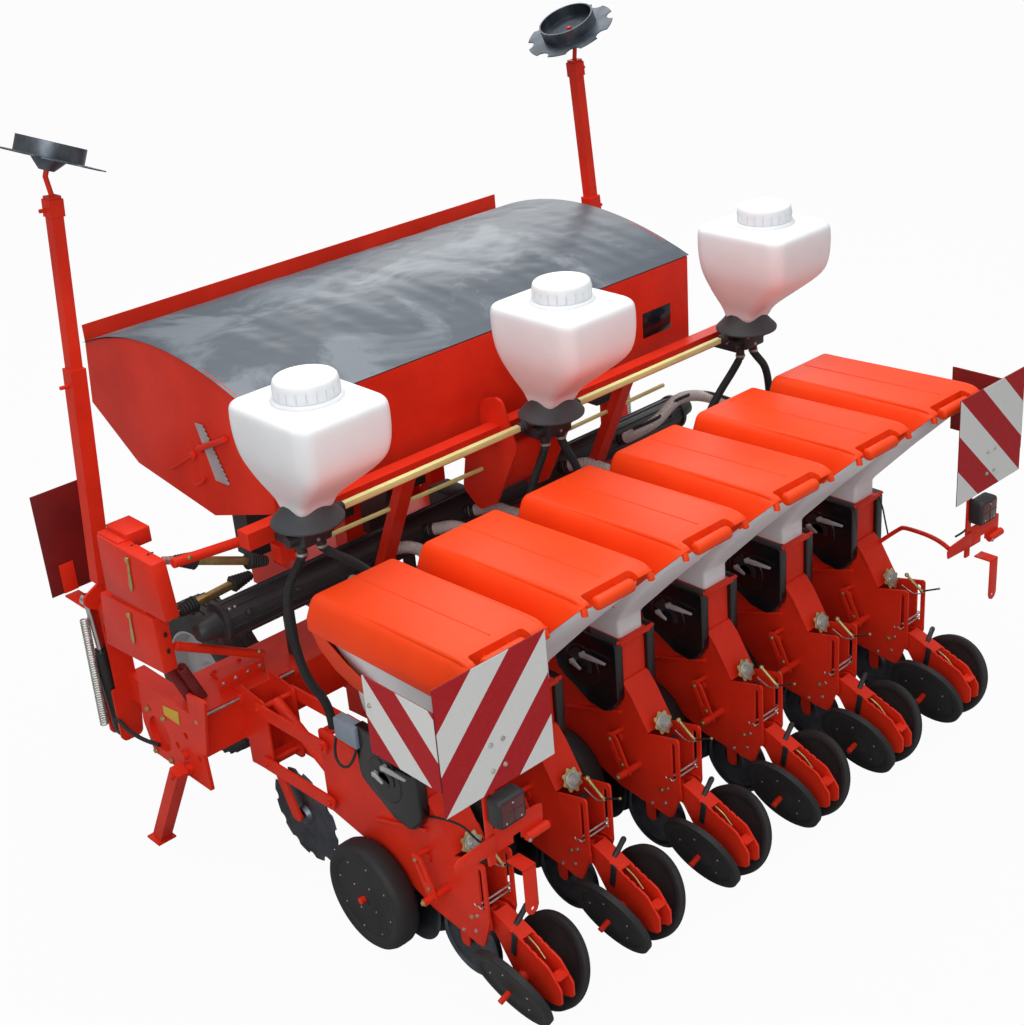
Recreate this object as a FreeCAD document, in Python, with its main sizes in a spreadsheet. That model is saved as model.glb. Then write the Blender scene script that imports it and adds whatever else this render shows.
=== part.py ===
"""Six-row mounted precision planter with a fertiliser hopper, as a parametric FreeCAD document.

Axes: X to the right of travel, Y forward to the tractor, Z up, ground at Z = 0.
Heights and places along Y are measured from the ground line under the press wheels;
every node is then moved back by origin_y, which puts the origin under the machine's middle.
"""
import FreeCAD, Part
import os
import re
from math import cos, pi, radians, sin, tan

import Sketcher
from FreeCAD import Placement, Rotation, Vector

doc = FreeCAD.newDocument("planter")
sheet = doc.addObject("Spreadsheet::Sheet", "Sizes")

SIZES = {
    # whole machine
    "origin_y": 1250, "row_pitch": 450, "clearance": 0.3, "pin_play": 0.8,
    # tool bar, front tube, longitudinal members, end plates
    "beam_rear": 1450, "beam_side": 180, "beam_low": 480, "beam_half": 1380, "beam_wall": 10,
    "end_plate": 14, "end_rear": 1420, "end_front": 1848, "end_low": 358, "end_rise": 5, "end_bolt": 14,
    "end_window": 72,
    "front_tube_gap": 50, "front_tube_side": 110, "front_tube_low": 500,
    "rail_inner": 400, "rail_width": 80, "rail_high": 640, "rail_front": 2440,
    # three-point headstock, category 2
    "hitch_half": 412.5, "hitch_gap": 52, "hitch_plate": 16, "hitch_y": 2560, "hitch_z": 600,
    "hitch_pin": 14.2, "mast_height": 610, "top_pin": 12.7, "hitch_reach": 52,
    # fertiliser hopper
    "hopper_half": 1050, "hopper_wall": 3, "leg_side": 80, "saddle_low": 1230,
    "leg_rear": 1690, "leg_front": 2250, "cover_skin": 6,
    # air manifold
    "manifold_radius": 68, "manifold_half": 1210, "manifold_y": 1500, "manifold_z": 940,
    # granule applicator
    "granule_rear": 1125, "granule_low": 1370, "granule_side": 60, "granule_half": 1250, "post_x": 560,
    "post_foot": 30, "shaft_z": 1470,
    "tank_spacing": 1100, "tank_y": 900, "tank_width": 370, "tank_length": 310,
    "tank_top": 1885, "tank_wall": 4, "cap_radius": 115, "cap_height": 80, "skirt_y": 990, "skirt_reach": 121.9,
    # carrier wheels
    "carrier_radius": 330, "carrier_width": 180, "carrier_x": 895, "carrier_y": 2150,
    # parking stands
    "stand_tube": 50, "stand_hinge_y": 1550, "stand_hinge_z": 404, "stand_foot_y": 1788, "stand_x": 1445,
    # row markers
    "marker_x": 1365, "marker_y": 2030, "marker_z": 900, "marker_lean": 4.6, "marker_sleeve": 920,
    "marker_length": 1525, "marker_disc": 190, "marker_tilt": 24,
    "cylinder_x": 1400, "cylinder_z": 370, "cylinder_bore": 13, "cylinder_foot": 12,
    # fan, dosing units, hoses
    "fan_y": 2180, "fan_radius": 230, "doser_y": 1660, "doser_z": 1110, "doser_pitch": 360, "doser_low": 1060,
    "hose_side": 30, "hose_lead": 240, "hose_stub": 40, "air_hose": 22, "granule_hose": 16,
    # row unit
    "side_half": 60, "side_plate": 8, "seat_z": 855, "seat_plate": 8, "meter_y": 565, "meter_z": 712,
    "meter_radius": 140, "meter_half": 95, "neck_width": 120, "neck_rear": 420, "neck_length": 155,
    "seed_top": 1370, "seed_half": 190, "seed_wall": 4, "lid_half": 200, "lid_wall": 4,
    "lid_top": 1385, "lid_front": 752, "hinge_z": 1240,
    "gauge_radius": 200, "gauge_width": 100, "gauge_gap": 8, "gauge_y": 700,
    "press_radius": 160, "press_width": 26, "press_tilt": 20, "press_x": 85, "press_y": 50,
    "closing_half": 30, "closing_plate": 8,
    "opener_radius": 190, "opener_y": 640, "coulter_radius": 190, "coulter_y": 1250, "disc_gap": 2,
    "follower_radius": 140, "follower_y": 340, "link_rear": 950, "link_front": 1330,
    "link_high": 660, "link_low": 430, "link_drop": 10, "link_plate": 10, "link_inner": 72,
    # lighting
    "board_inner": 1043, "board_side": 423, "board_low": 995, "board_y": -45, "side_board": 310, "board_skin": 3, "board_post": 90,
    "front_board_inner": 1200, "front_board_width": 250, "front_board_low": 876, "front_board_high": 1300,
    "front_board_y": 2280,
}
for line, (alias, number) in enumerate(SIZES.items(), start=1):
    sheet.set(f"A{line}", alias)
    sheet.set(f"B{line}", str(number))
    sheet.setAlias(f"B{line}", alias)
doc.recompute()
WORD = re.compile(r"\b(" + "|".join(sorted(SIZES, key=len, reverse=True)) + r")\b")


def cells(text):
    """Turn size names in a formula into sheet references."""
    return WORD.sub(r"Sizes.\1", str(text))


def size(text):
    """Value of a formula of sheet sizes, in millimetres or degrees."""
    return float(sheet.evalExpression(cells(text)))


def point(x, y, z):
    return Vector(size(x), size(y), size(z))


def new(kind, name="Piece"):
    return doc.addObject(kind, name)


# ---------------------------------------------------------------- building blocks
def box(x0, x1, y0, y1, z0, z1):
    """Block between two corners, each side bound to the sheet."""
    block = new("Part::Box", "Box")
    for side, low, high in (("Length", x0, x1), ("Width", y0, y1), ("Height", z0, z1)):
        block.setExpression(side, cells(f"({high}) - ({low})"))
    for axis, low in (("x", x0), ("y", y0), ("z", z0)):
        block.setExpression(f"Placement.Base.{axis}", cells(low))
    return block


TURNS = {"x": Rotation(Vector(0, 1, 0), 90), "y": Rotation(Vector(1, 0, 0), -90), "z": Rotation()}


def rod(axis, radius, start, end, x=0, y=0, z=0):
    """Round bar along an axis from start to end."""
    bar = new("Part::Cylinder", "Rod")
    bar.setExpression("Radius", cells(radius))
    bar.setExpression("Height", cells(f"({end}) - ({start})"))
    bar.Placement = Placement(Vector(), TURNS[axis])
    place = {"x": x, "y": y, "z": z}
    place[axis] = start
    for name, value in place.items():
        bar.setExpression(f"Placement.Base.{name}", cells(value))
    return bar


def between(start, end):
    """Placement at start whose Z axis points at end, with the box side kept in the YZ plane."""
    way = end - start
    across = Vector(1, 0, 0) if abs(way.x) < 0.9 * way.Length else Vector(0, 1, 0)
    side = way.cross(across)
    return Placement(start, Rotation(way.cross(side) * -1, side * -1, way, "ZXY"))


def strut(start, end, radius):
    """Round bar between two points."""
    bar = new("Part::Cylinder", "Strut")
    bar.setExpression("Radius", cells(radius))
    bar.Height = (end - start).Length
    bar.Placement = between(start, end)
    return bar


def beam(start, end, width, depth):
    """Square bar between two points; width lies across X, depth across the slope."""
    bar = new("Part::Box", "Beam")
    bar.setExpression("Length", cells(width))
    bar.setExpression("Width", cells(depth))
    bar.Height = (end - start).Length
    spin = between(start, end)
    spin.Base = start - spin.Rotation.multVec(Vector(size(width) / 2, size(depth) / 2, 0))
    bar.Placement = spin
    return bar


def outline(corners, place):
    """Closed wire through (u, v) or (u, v, radius) corners; place maps (u, v) to space."""
    flat = [(size(c[0]), size(c[1]), size(c[2]) if len(c) > 2 else 0) for c in corners]
    ends = []
    for i, (u, v, radius) in enumerate(flat):
        here = Vector(u, v, 0)
        before = Vector(*flat[i - 1][:2], 0) - here
        after = Vector(*flat[(i + 1) % len(flat)][:2], 0) - here
        if radius <= 0:
            ends.append((here, None, here))
            continue
        half = before.getAngle(after) / 2
        reach = min(radius / tan(half), 0.48 * before.Length, 0.48 * after.Length)
        before.normalize()
        after.normalize()
        bisector = before + after
        bisector.normalize()
        centre = here + bisector * (reach / cos(half))
        middle = centre - bisector * (reach * tan(half))
        ends.append((here + before * reach, middle, here + after * reach))
    edges = []
    for i, (enter, middle, leave) in enumerate(ends):
        if middle:
            edges.append(Part.Arc(place(enter), place(middle), place(leave)).toShape())
        start = ends[(i + 1) % len(ends)][0]
        if (leave - start).Length > 1e-6:
            edges.append(Part.LineSegment(place(leave), place(start)).toShape())
    wire = new("Part::Feature", "Outline")
    wire.Shape = Part.Wire(edges)
    return wire


def extrude(wire, way, low, high):
    block = new("Part::Extrusion", "Plate")
    block.Base = wire
    block.Solid = True
    block.DirMode = "Custom"
    block.Dir = way
    block.setExpression("LengthFwd", cells(f"({high}) - ({low})"))
    axis = "xyz"[[abs(part) > 0.5 for part in way].index(True)]
    block.setExpression(f"Placement.Base.{axis}", cells(low))
    return block


def side_plate(corners, x0, x1):
    """Plate in the YZ plane, cut to (y, z) corners, from x0 to x1."""
    return extrude(outline(corners, lambda p: Vector(0, p.x, p.y)), Vector(1, 0, 0), x0, x1)


def cross_plate(corners, y0, y1):
    """Plate in the XZ plane, cut to (x, z) corners, from y0 to y1."""
    return extrude(outline(corners, lambda p: Vector(p.x, 0, p.y)), Vector(0, 1, 0), y0, y1)


def joined(pieces):
    result = new("Part::MultiFuse", "Joined")
    result.Shapes = pieces
    return result


def cut(base, tools):
    result = new("Part::Cut", "Cut")
    result.Base = base
    result.Tool = tools[0] if len(tools) == 1 else joined(tools)
    return result


def together(pieces, x="0"):
    """Separate solids kept side by side, moved along X."""
    group = new("Part::Compound", "Group")
    group.Links = pieces
    group.setExpression("Placement.Base.x", cells(x))
    return group


def mirrored(piece):
    """The same piece on the other side of the YZ plane."""
    twin = new("Part::Mirroring", "Twin")
    twin.Source = piece
    twin.Normal = Vector(1, 0, 0)
    return twin


def both(pieces):
    return pieces + [mirrored(piece) for piece in pieces]


def turned(name, profile):
    """Body of revolution about the X axis from (x, radius) corners, every corner bound to the sheet."""
    body = new("PartDesign::Body", name)
    sketch = body.newObject("Sketcher::SketchObject", name + "Profile")
    plane = [part for part in body.Origin.OriginFeatures if part.Role == "XZ_Plane"][0]
    sketch.AttachmentSupport = (plane, [""])
    sketch.MapMode = "FlatFace"
    spots = [Vector(size(x), size(radius), 0) for x, radius in profile]
    count = len(spots)
    for i in range(count):
        sketch.addGeometry(Part.LineSegment(spots[i], spots[(i + 1) % count]), False)
    for i in range(count):
        sketch.addConstraint(Sketcher.Constraint("Coincident", i, 2, (i + 1) % count, 1))
    for i, (x, radius) in enumerate(profile):
        for kind, formula, value in (("DistanceX", x, spots[i].x), ("DistanceY", radius, spots[i].y)):
            index = sketch.addConstraint(Sketcher.Constraint(kind, -1, 1, i, 1, value))
            sketch.setExpression(f"Constraints[{index}]", cells(formula))
    turn = body.newObject("PartDesign::Revolution", name + "Turn")
    turn.Profile = sketch
    turn.ReferenceAxis = (sketch, ["H_Axis"])
    turn.Angle = 360
    return body


def placed(piece, x=0, y=0, z=0, rotation=None):
    """Put a piece that was made about the origin at its place on the machine."""
    group = new("Part::Compound", "Placed")
    group.Links = [piece]
    group.Placement = Placement(Vector(), rotation or Rotation())
    for axis, value in (("x", x), ("y", y), ("z", z)):
        group.setExpression(f"Placement.Base.{axis}", cells(value))
    return group


NODES = []


def node(label, pieces, x="0"):
    """A named sub-part, placed in the machine's own frame."""
    part = together(pieces, x)
    part.Label = label
    part.setExpression("Placement.Base.y", cells("-origin_y"))
    NODES.append(part)
    return part


ROWS = [(number, f"{number - 3.5} * row_pitch") for number in range(1, 7)]


def on_rows(pieces):
    return [together(pieces, x) for number, x in ROWS]


# ---------------------------------------------------------------- main frame and headstock
def tool_bar():
    wall = "beam_wall"
    outer = box("-beam_half", "beam_half", "beam_rear", "beam_rear + beam_side",
                "beam_low", "beam_low + beam_side")
    inner = box("-beam_half - 1", "beam_half + 1", f"beam_rear + {wall}", f"beam_rear + beam_side - {wall}",
                f"beam_low + {wall}", f"beam_low + beam_side - {wall}")
    return cut(outer, [inner])


FRONT_TUBE = "(beam_rear + beam_side + front_tube_gap)"


def end_plate():
    x0, x1 = "beam_half", "beam_half + end_plate"
    top = "beam_low + beam_side + end_rise"
    plate = side_plate([("end_rear", "end_low", 10), ("end_front - 40", "end_low", 25),
                        ("end_front", "end_low + 122", 40), ("end_front - 18", top, 30),
                        ("end_rear + 20", top, 15)], x0, x1)
    window = rod("x", "end_window", f"{x0} - 5", f"{x1} + 5", y="end_front - 114", z="end_low + 112")
    backing = box(f"{x0} - 45", f"{x0} - 37", "end_front - 198", "end_front - 30", "end_low + 30", "end_low + 145")
    rim = cut(rod("x", "end_window + 6", f"{x0} - 38", f"{x0} + 1", y="end_front - 114", z="end_low + 112"), [window])
    holes = [rod("x", "end_bolt", "beam_half - 5", f"{x1} + 5", y=f"end_rear + {y}", z=f"end_low + {z}")
             for y, z in ((116, 189), (192, 115), (46, 118), (119, 45))]
    boss = rod("x", 20, f"{x0} + 1", f"{x1} + 18", y="end_rear + 144", z="end_low + 97")
    strip = side_plate([("end_rear + 48", "end_low + 149", 12), ("end_rear - 30", "end_low + 174", 12),
                        ("end_rear - 85", "end_low + 419", 12), ("end_rear + 36", "end_low + 406", 12)],
                       f"{x1} - 1", f"{x1} + 10")
    return joined([cut(plate, [window] + holes), rim, backing, boss, strip])


def marker_mount():
    """Bracket outside the tool bar: outrigger, clevis for the arm, ear for the cylinder."""
    x0, x1 = "marker_x - 45", "marker_x + 45"
    rear, front = "marker_y - 35", "marker_y + 35"
    outrigger = box("marker_x - 90", "marker_x - 10", f"{FRONT_TUBE} + front_tube_side - 1",
                    f"{rear} + 1", "front_tube_low", "front_tube_low + 110")
    shapes = [outrigger]
    for y0, y1 in ((f"{rear} - 12", rear), (front, f"{front} + 12")):
        plate = cross_plate([(x0, "front_tube_low - 20", 20), (x1, "front_tube_low - 20", 20),
                             (x1, "marker_z + 40", 35), (x0, "marker_z + 40", 35)], y0, y1)
        ear = cross_plate([("cylinder_x - 60", "cylinder_z - 30", 25), ("cylinder_x + 30", "cylinder_z - 30", 25),
                           ("cylinder_x + 30", "cylinder_z + 200", 10),
                           ("cylinder_x - 90", "cylinder_z + 200", 10)], y0, y1)
        shapes += [plate, ear]
    shapes.append(box("marker_x - 45", "marker_x - 20", f"{rear} - 1", f"{front} + 1",
                      "front_tube_low - 20", "front_tube_low + 110"))
    shapes.append(rod("y", 15, f"{rear} - 20", f"{front} + 20", x="marker_x", z="marker_z"))
    shapes.append(rod("y", "cylinder_foot", f"{rear} - 18", f"{front} + 18", x="cylinder_x", z="cylinder_z"))
    return joined(shapes)


def carrier_leg():
    start = point("carrier_x - carrier_width / 2 - 55", f"{FRONT_TUBE} + 60", "front_tube_low + 30")
    end = point("carrier_x - carrier_width / 2 - 55", "carrier_y", "carrier_radius")
    axle = rod("x", 25, "carrier_x - carrier_width / 2 - 80", "carrier_x + 60", y="carrier_y", z="carrier_radius")
    boss = rod("x", 55, "carrier_x - carrier_width / 2 - 80", "carrier_x - carrier_width / 2 - 25",
               y="carrier_y", z="carrier_radius")
    return joined([beam(start, end, 40, 110), axle, boss])


def stand_socket():
    """Pin boss and stop that carry a parking stand on the end plate."""
    x0 = "beam_half + end_plate"
    pin = rod("x", 12, f"{x0} - 2", "stand_x + stand_tube / 2 + 12", y="stand_hinge_y", z="stand_hinge_z")
    boss = rod("x", 24, f"{x0} - 2", "stand_x - stand_tube / 2 - 3", y="stand_hinge_y", z="stand_hinge_z")
    return joined([pin, boss])


def headstock():
    pieces = [box("-rail_inner - rail_width", "rail_inner + rail_width", "rail_front - 80", "rail_front",
                  "rail_high - 160", "rail_high")]
    x0, x1 = "hitch_half - hitch_gap / 2 - hitch_plate", "hitch_half - hitch_gap / 2"
    ear = side_plate([("rail_front - 10", "hitch_z - 110", 10), ("hitch_y + hitch_reach", "hitch_z - 45", 45),
                      ("hitch_y + hitch_reach", "hitch_z + 45", 45), ("rail_front - 10", "hitch_z + 140", 10)],
                     x0, x1)
    gusset = box(f"{x0} - 30", f"{x0} + 1", "rail_front - 1", "rail_front + 12", "hitch_z - 100", "hitch_z + 130")
    pin = rod("x", "hitch_pin", f"{x0} - 10", "hitch_half + hitch_gap / 2", y="hitch_y", z="hitch_z")
    mast = beam(point("rail_inner + 20", "rail_front + 8", "rail_high - 60"),
                point("40", "rail_front + 20", "hitch_z + mast_height + 30"), 60, 24)
    top = box("hitch_gap / 2", "hitch_gap / 2 + 12", "rail_front + 10", "hitch_y + 5",
              "hitch_z + mast_height - 50", "hitch_z + mast_height + 50")
    link_hole = rod("x", "top_pin + pin_play / 2", "hitch_gap / 2 - 1", "hitch_gap / 2 + 13", y="hitch_y - 25",
                    z="hitch_z + mast_height")
    pieces += both([ear, gusset, pin, mast, cut(top, [link_hole])])
    pieces.append(box("-hitch_gap / 2 - 2", "hitch_gap / 2 + 2", "rail_front + 10", "rail_front + 22",
                      "hitch_z + mast_height - 50", "hitch_z + mast_height + 50"))
    stay = beam(point("rail_inner + 40", "leg_rear + leg_side / 2", "saddle_low - 60"),
                point("45", "rail_front + 15", "hitch_z + mast_height - 10"), 50, 30)
    return pieces + both([stay])


def main_frame():
    front_tube = box("-beam_half", "beam_half", FRONT_TUBE, f"{FRONT_TUBE} + front_tube_side",
                     "front_tube_low", "front_tube_low + front_tube_side")
    rail = box("rail_inner", "rail_inner + rail_width", "beam_rear + beam_side", "rail_front",
               "front_tube_low", "rail_high")
    legs = [box("rail_inner", "rail_inner + leg_side", y, f"{y} + leg_side", "rail_high - 1", "saddle_low")
            for y in ("leg_rear", "leg_front")]
    bed = box("-rail_inner - 1", "rail_inner + 1", "fan_y - 70", "fan_y + 70", "rail_high - 10", "rail_high")
    sides = both([end_plate(), marker_mount(), carrier_leg(), stand_socket(), rail] + legs)
    node("main_frame", [joined([tool_bar(), front_tube, bed] + sides + headstock())])


# ---------------------------------------------------------------- fertiliser hopper
HOPPER_SIDE = [(1251, 1734), (1256, 1386), (1660, 1260), (2160, 1330), (2440, 1510), (2400, 1760)]
HOPPER_CROWN = (1851, 1860)


def crown(rise, shrink=0):
    """Arc over the hopper from its rear edge to its front edge, raised by rise."""
    rear, front = HOPPER_SIDE[0], HOPPER_SIDE[-1]
    lift = rise + shrink / 2
    return Part.Arc(Vector(0, rear[0] + shrink, rear[1] + lift), Vector(0, HOPPER_CROWN[0], HOPPER_CROWN[1] + rise),
                    Vector(0, front[0] - shrink, front[1] + lift)).toShape()


def wire_of(edges):
    wire = new("Part::Feature", "Outline")
    wire.Shape = Part.Wire(Part.sortEdges(edges)[0])
    return wire


def hopper_wire(inset, arched):
    """Side outline of the hopper, moved inwards by inset; its top is straight or arched."""
    wire = Part.makePolygon([Vector(0, y, z) for y, z in HOPPER_SIDE + HOPPER_SIDE[:1]])
    if inset:
        wire = wire.makeOffset2D(-inset, 2)
    edges = list(wire.Edges)
    if arched:
        edges = [e for e in edges if not (min(v.Z for v in e.Vertexes) > 1700)] + [crown(0)]
    return wire_of(edges)


def hopper():
    wall = size("hopper_wall")
    body = extrude(hopper_wire(0, False), Vector(1, 0, 0), "-hopper_half", "hopper_half")
    hollow = extrude(hopper_wire(wall, False), Vector(1, 0, 0), "-hopper_half + hopper_wall",
                     "hopper_half - hopper_wall")
    rear, front = HOPPER_SIDE[0], HOPPER_SIDE[-1]
    mouth = side_plate([(rear[0] + wall, rear[1] - 40), (front[0] - wall, front[1] - 40),
                        (front[0] - wall, front[1] + 60), (rear[0] + wall, rear[1] + 60)],
                       "-hopper_half + hopper_wall", "hopper_half - hopper_wall")
    shell = cut(body, [hollow, mouth])
    cheek = extrude(hopper_wire(0, True), Vector(1, 0, 0), "hopper_half - hopper_wall", "hopper_half")
    flange = box("-hopper_half", "hopper_half", "2400 - hopper_wall", "2400", 1740, 1830)
    saddles = [side_plate([("leg_rear - 60", "saddle_low"), ("leg_front + leg_side + 20", "saddle_low"),
                           ("leg_front + leg_side + 20", 1445), (2160, 1332), (1660, 1262), ("leg_rear - 60", 1272)],
                          "rail_inner + 10", "rail_inner + 70")]
    trough = joined([shell, flange] + both([cheek] + saddles))
    node("hopper", [trough])


def hopper_cover():
    """Tarpaulin stretched over the end plates, from the front flange to the rear edge."""
    low, high = crown(size("clearance"), 4), crown(size("clearance + cover_skin"), 4)
    ends = [Part.makeLine(low.Vertexes[i].Point, high.Vertexes[i].Point) for i in (0, 1)]
    node("hopper_cover", [extrude(wire_of([low, high] + ends), Vector(1, 0, 0), "-hopper_half - 12",
                                  "hopper_half + 12")])


def dosers_and_fan():
    """Dosing units under the trough on one cross shaft, and the fan behind the headstock."""
    units = [box(f"{n - 3.5} * doser_pitch - 55", f"{n - 3.5} * doser_pitch + 55", "doser_y - 48", "doser_y + 48",
                 "doser_low", "1260 - clearance") for n, x in ROWS]
    shaft = rod("x", 12, "-2.5 * doser_pitch - 70", "2.5 * doser_pitch + 70", y="doser_y", z="doser_z")
    case = rod("x", "fan_radius", -70, 70, y="fan_y", z="manifold_z")
    mouth = rod("x", 90, -120, -69, y="fan_y", z="manifold_z")
    foot = box(-60, 60, "fan_y - 60", "fan_y + 60", "rail_high", "manifold_z - 200")
    node("dosers_and_fan", [joined(units + [shaft]), joined([case, mouth, foot])])


def air_manifold():
    """Distribution pipe with domed ends, its duct from the fan, feet on the tool bar and outlets."""
    at = {"y": "manifold_y", "z": "manifold_z"}
    pipe = rod("x", "manifold_radius", "-manifold_half", "manifold_half", **at)
    dome = new("Part::Sphere", "Dome")
    dome.setExpression("Radius", cells("manifold_radius"))
    placed_domes = [placed(dome, x, "manifold_y", "manifold_z") for x in ("-manifold_half", "manifold_half")]
    duct = box(-55, 55, "manifold_y + 20", "fan_y - fan_radius - clearance", "manifold_z - 50", "manifold_z + 50")
    feet = [box(f"{x} - 6", f"{x} + 6", "manifold_y - 20", "manifold_y + 60", "beam_low + beam_side",
                "manifold_z - 60") for x in (-900, -320, 320, 900)]
    outlets = []
    for number, x in ROWS:
        outlets.append(strut(point(f"{x} + hose_side", "manifold_y - 50", "manifold_z - 29"),
                             point(f"{x} + hose_side", "manifold_y - 130", "manifold_z - 76"), 24))
    node("air_manifold", [joined([pipe, duct] + placed_domes + feet + outlets)])


# ---------------------------------------------------------------- granule applicator
def tapered(half_x, y0, y1, z_top, z_mid, z_low, low_x, low_y0, low_y1):
    """Upright box that narrows below z_mid to a smaller outlet at z_low."""
    upper = box(f"-({half_x})", half_x, y0, y1, z_mid, z_top)
    rings = []
    for hx, ya, yb, z in ((half_x, y0, y1, z_mid), (low_x, low_y0, low_y1, z_low)):
        ring = new("Part::Feature", "Ring")
        corners = [point(f"-({hx})", ya, z), point(hx, ya, z), point(hx, yb, z), point(f"-({hx})", yb, z)]
        ring.Shape = Part.makePolygon(corners + corners[:1])
        rings.append(ring)
    loft = new("Part::Loft", "Taper")
    loft.Sections = rings
    loft.Solid = True
    loft.Ruled = True
    return joined([upper, loft])


TANKS = ["-tank_spacing", "0", "tank_spacing"]


def granule_tanks():
    y0, y1 = "tank_y - tank_length / 2", "tank_y + tank_length / 2"
    outer = tapered("tank_width / 2", y0, y1, "tank_top", 1700, 1500, 70, "skirt_y - 60", "skirt_y + 60")
    wall = "tank_wall"
    inner = tapered(f"tank_width / 2 - {wall}", f"{y0} + {wall}", f"{y1} - {wall}", f"tank_top - {wall}", 1700,
                    f"1500 + {wall}", f"70 - {wall}", f"skirt_y - 60 + {wall}", f"skirt_y + 60 - {wall}")
    cap = rod("z", "cap_radius", "tank_top - 1", "tank_top + cap_height", y="tank_y - 10")
    tank = cut(joined([outer, cap]), [inner])
    node("granule_tanks", [together([tank], x) for x in TANKS])


def granule_meters():
    """Flared skirt under each tank and the dosing roller housing below it."""
    skirt = new("Part::Cone", "Skirt")
    skirt.Radius1 = 128
    skirt.Radius2 = 95
    skirt.setExpression("Height", cells("70 - clearance"))
    skirt = placed(skirt, 0, "skirt_y", 1430)
    body = box(-70, 70, "skirt_y - 50", "granule_rear - clearance", 1345, 1431)
    roller = rod("x", 22, -105, 105, y="skirt_y", z=1385)
    spouts = [rod("z", 17, 1325, 1350, x=x, y="skirt_y") for x in (-40, 40)]
    node("granule_meters", [together([joined([skirt, body, roller] + spouts)], x) for x in TANKS])


def granule_beam():
    """Square beam behind the hopper on two raked posts, with the chain case in the middle."""
    top = "granule_low + granule_side"
    bar = box("-granule_half", "granule_half", "granule_rear", "granule_rear + granule_side", "granule_low", top)
    post = beam(point("post_x", "granule_rear + 30", "granule_low + 10"),
                point("post_x", "beam_rear + 40", "beam_low + beam_side + 12"), 60, 40)
    foot = box("post_x - 45", "post_x + post_foot", "beam_rear + 2", "beam_rear + 90", "beam_low + beam_side",
               "beam_low + beam_side + 12")
    pieces = [bar] + both([post, foot])
    oval = [(1045, 1350), (1110, 1545), (1225, 1510), (1235, 1380), (1340, 1250), (1370, 1110), (1280, 1040),
            (1180, 1100)]
    for x in (-135, 130):
        pieces.append(side_plate([(y, z, 40) for y, z in oval], x, x + 10))
    pieces.append(rod("x", 75, -126, 131, y=1265, z=1180))
    pieces.append(box(-988, -930, 1365, 1425, 1130, 1200))
    pieces.append(side_plate([(1365, 1190), (1425, 1190), (1180, "granule_low + 20"), (1130, "granule_low + 20")],
                             -965, -955))
    node("granule_beam", [joined(pieces)])


def drive_shafts():
    """Telescopic shafts with rubber boots: granule shaft, and two from the gear cases."""
    def shaft(start, end):
        way = end - start
        way.normalize()
        boots = [strut(start, start + way * 70, 27), strut(end - way * 70, end, 27)]
        return joined([beam(start + way * 60, end - way * 60, 32, 32)] + boots)
    line = ("skirt_y + 10", "shaft_z")
    spans = [(point("-tank_spacing + skirt_reach", *line), point("-skirt_reach", *line)),
             (point("tank_spacing - skirt_reach", *line), point("skirt_reach", *line)),
             (point(-1308, 1520, 1235), point(-1000, 1395, 1165)),
             (point(-1309, 1605, 990), point("-2.5 * doser_pitch - 75", "doser_y", "doser_z"))]
    node("drive_shafts", [shaft(start, end) for start, end in spans])


def gear_cases():
    """Two stacked chain and gear cases on a bracket behind the left marker mount."""
    x0, x1 = -1450, -1393
    upper = side_plate([(1427, 1075, 25), (1830, 1060, 25), (1800, 1297, 25), (1427, 1308, 25)], x0, x1)
    lower = side_plate([(1485, 857, 25), (1875, 828, 25), (1866, 1046, 15), (1500, 1061, 15)], x0, x1)
    link = box(-1440, -1400, 1560, 1800, 1040, 1080)
    cap = box(-1440, "-beam_half + 15", 1590, 1790, 1280, 1352)
    bracket = box(-1410, -1392, 1860, "marker_y - 47", 850, 935)
    ends = [rod("x", 14, -1394, -1315, y=y, z=z) for y, z in ((1520, 1235), (1605, 990))]
    node("gear_cases", [joined([upper, lower, link, cap, bracket] + ends)])


# ---------------------------------------------------------------- row units
def row_side():
    """One side plate of a row unit: tower, bow round the seed meter, rear plate and head."""
    high, low = "link_high", "link_low"
    plate = side_plate([("neck_rear", "seat_z"), (640, "seat_z"), (712, 770, 15), (700, 700, 20),
                        ("link_rear - 40", f"{high} + 55", 15), ("link_rear + 40", f"{high} + 55", 20),
                        ("link_rear + 40", f"{low} - 50", 20), (700, 330, 60), (450, 235, 60),
                        (205, 205, 30), (165, 330, 20), (165, 556, 12), (309, 520), ("neck_rear", 680)],
                       "side_half - side_plate", "side_half")
    eye = rod("x", "meter_radius - 26", "side_half - side_plate - 1", "side_half + 1", y="meter_y", z="meter_z")
    slot = side_plate([(182, 370, 8), (200, 370, 8), (200, 530, 8), (182, 530, 8)], "side_half - side_plate - 1",
                      "side_half + 1")
    return cut(plate, [eye, slot])


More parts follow.
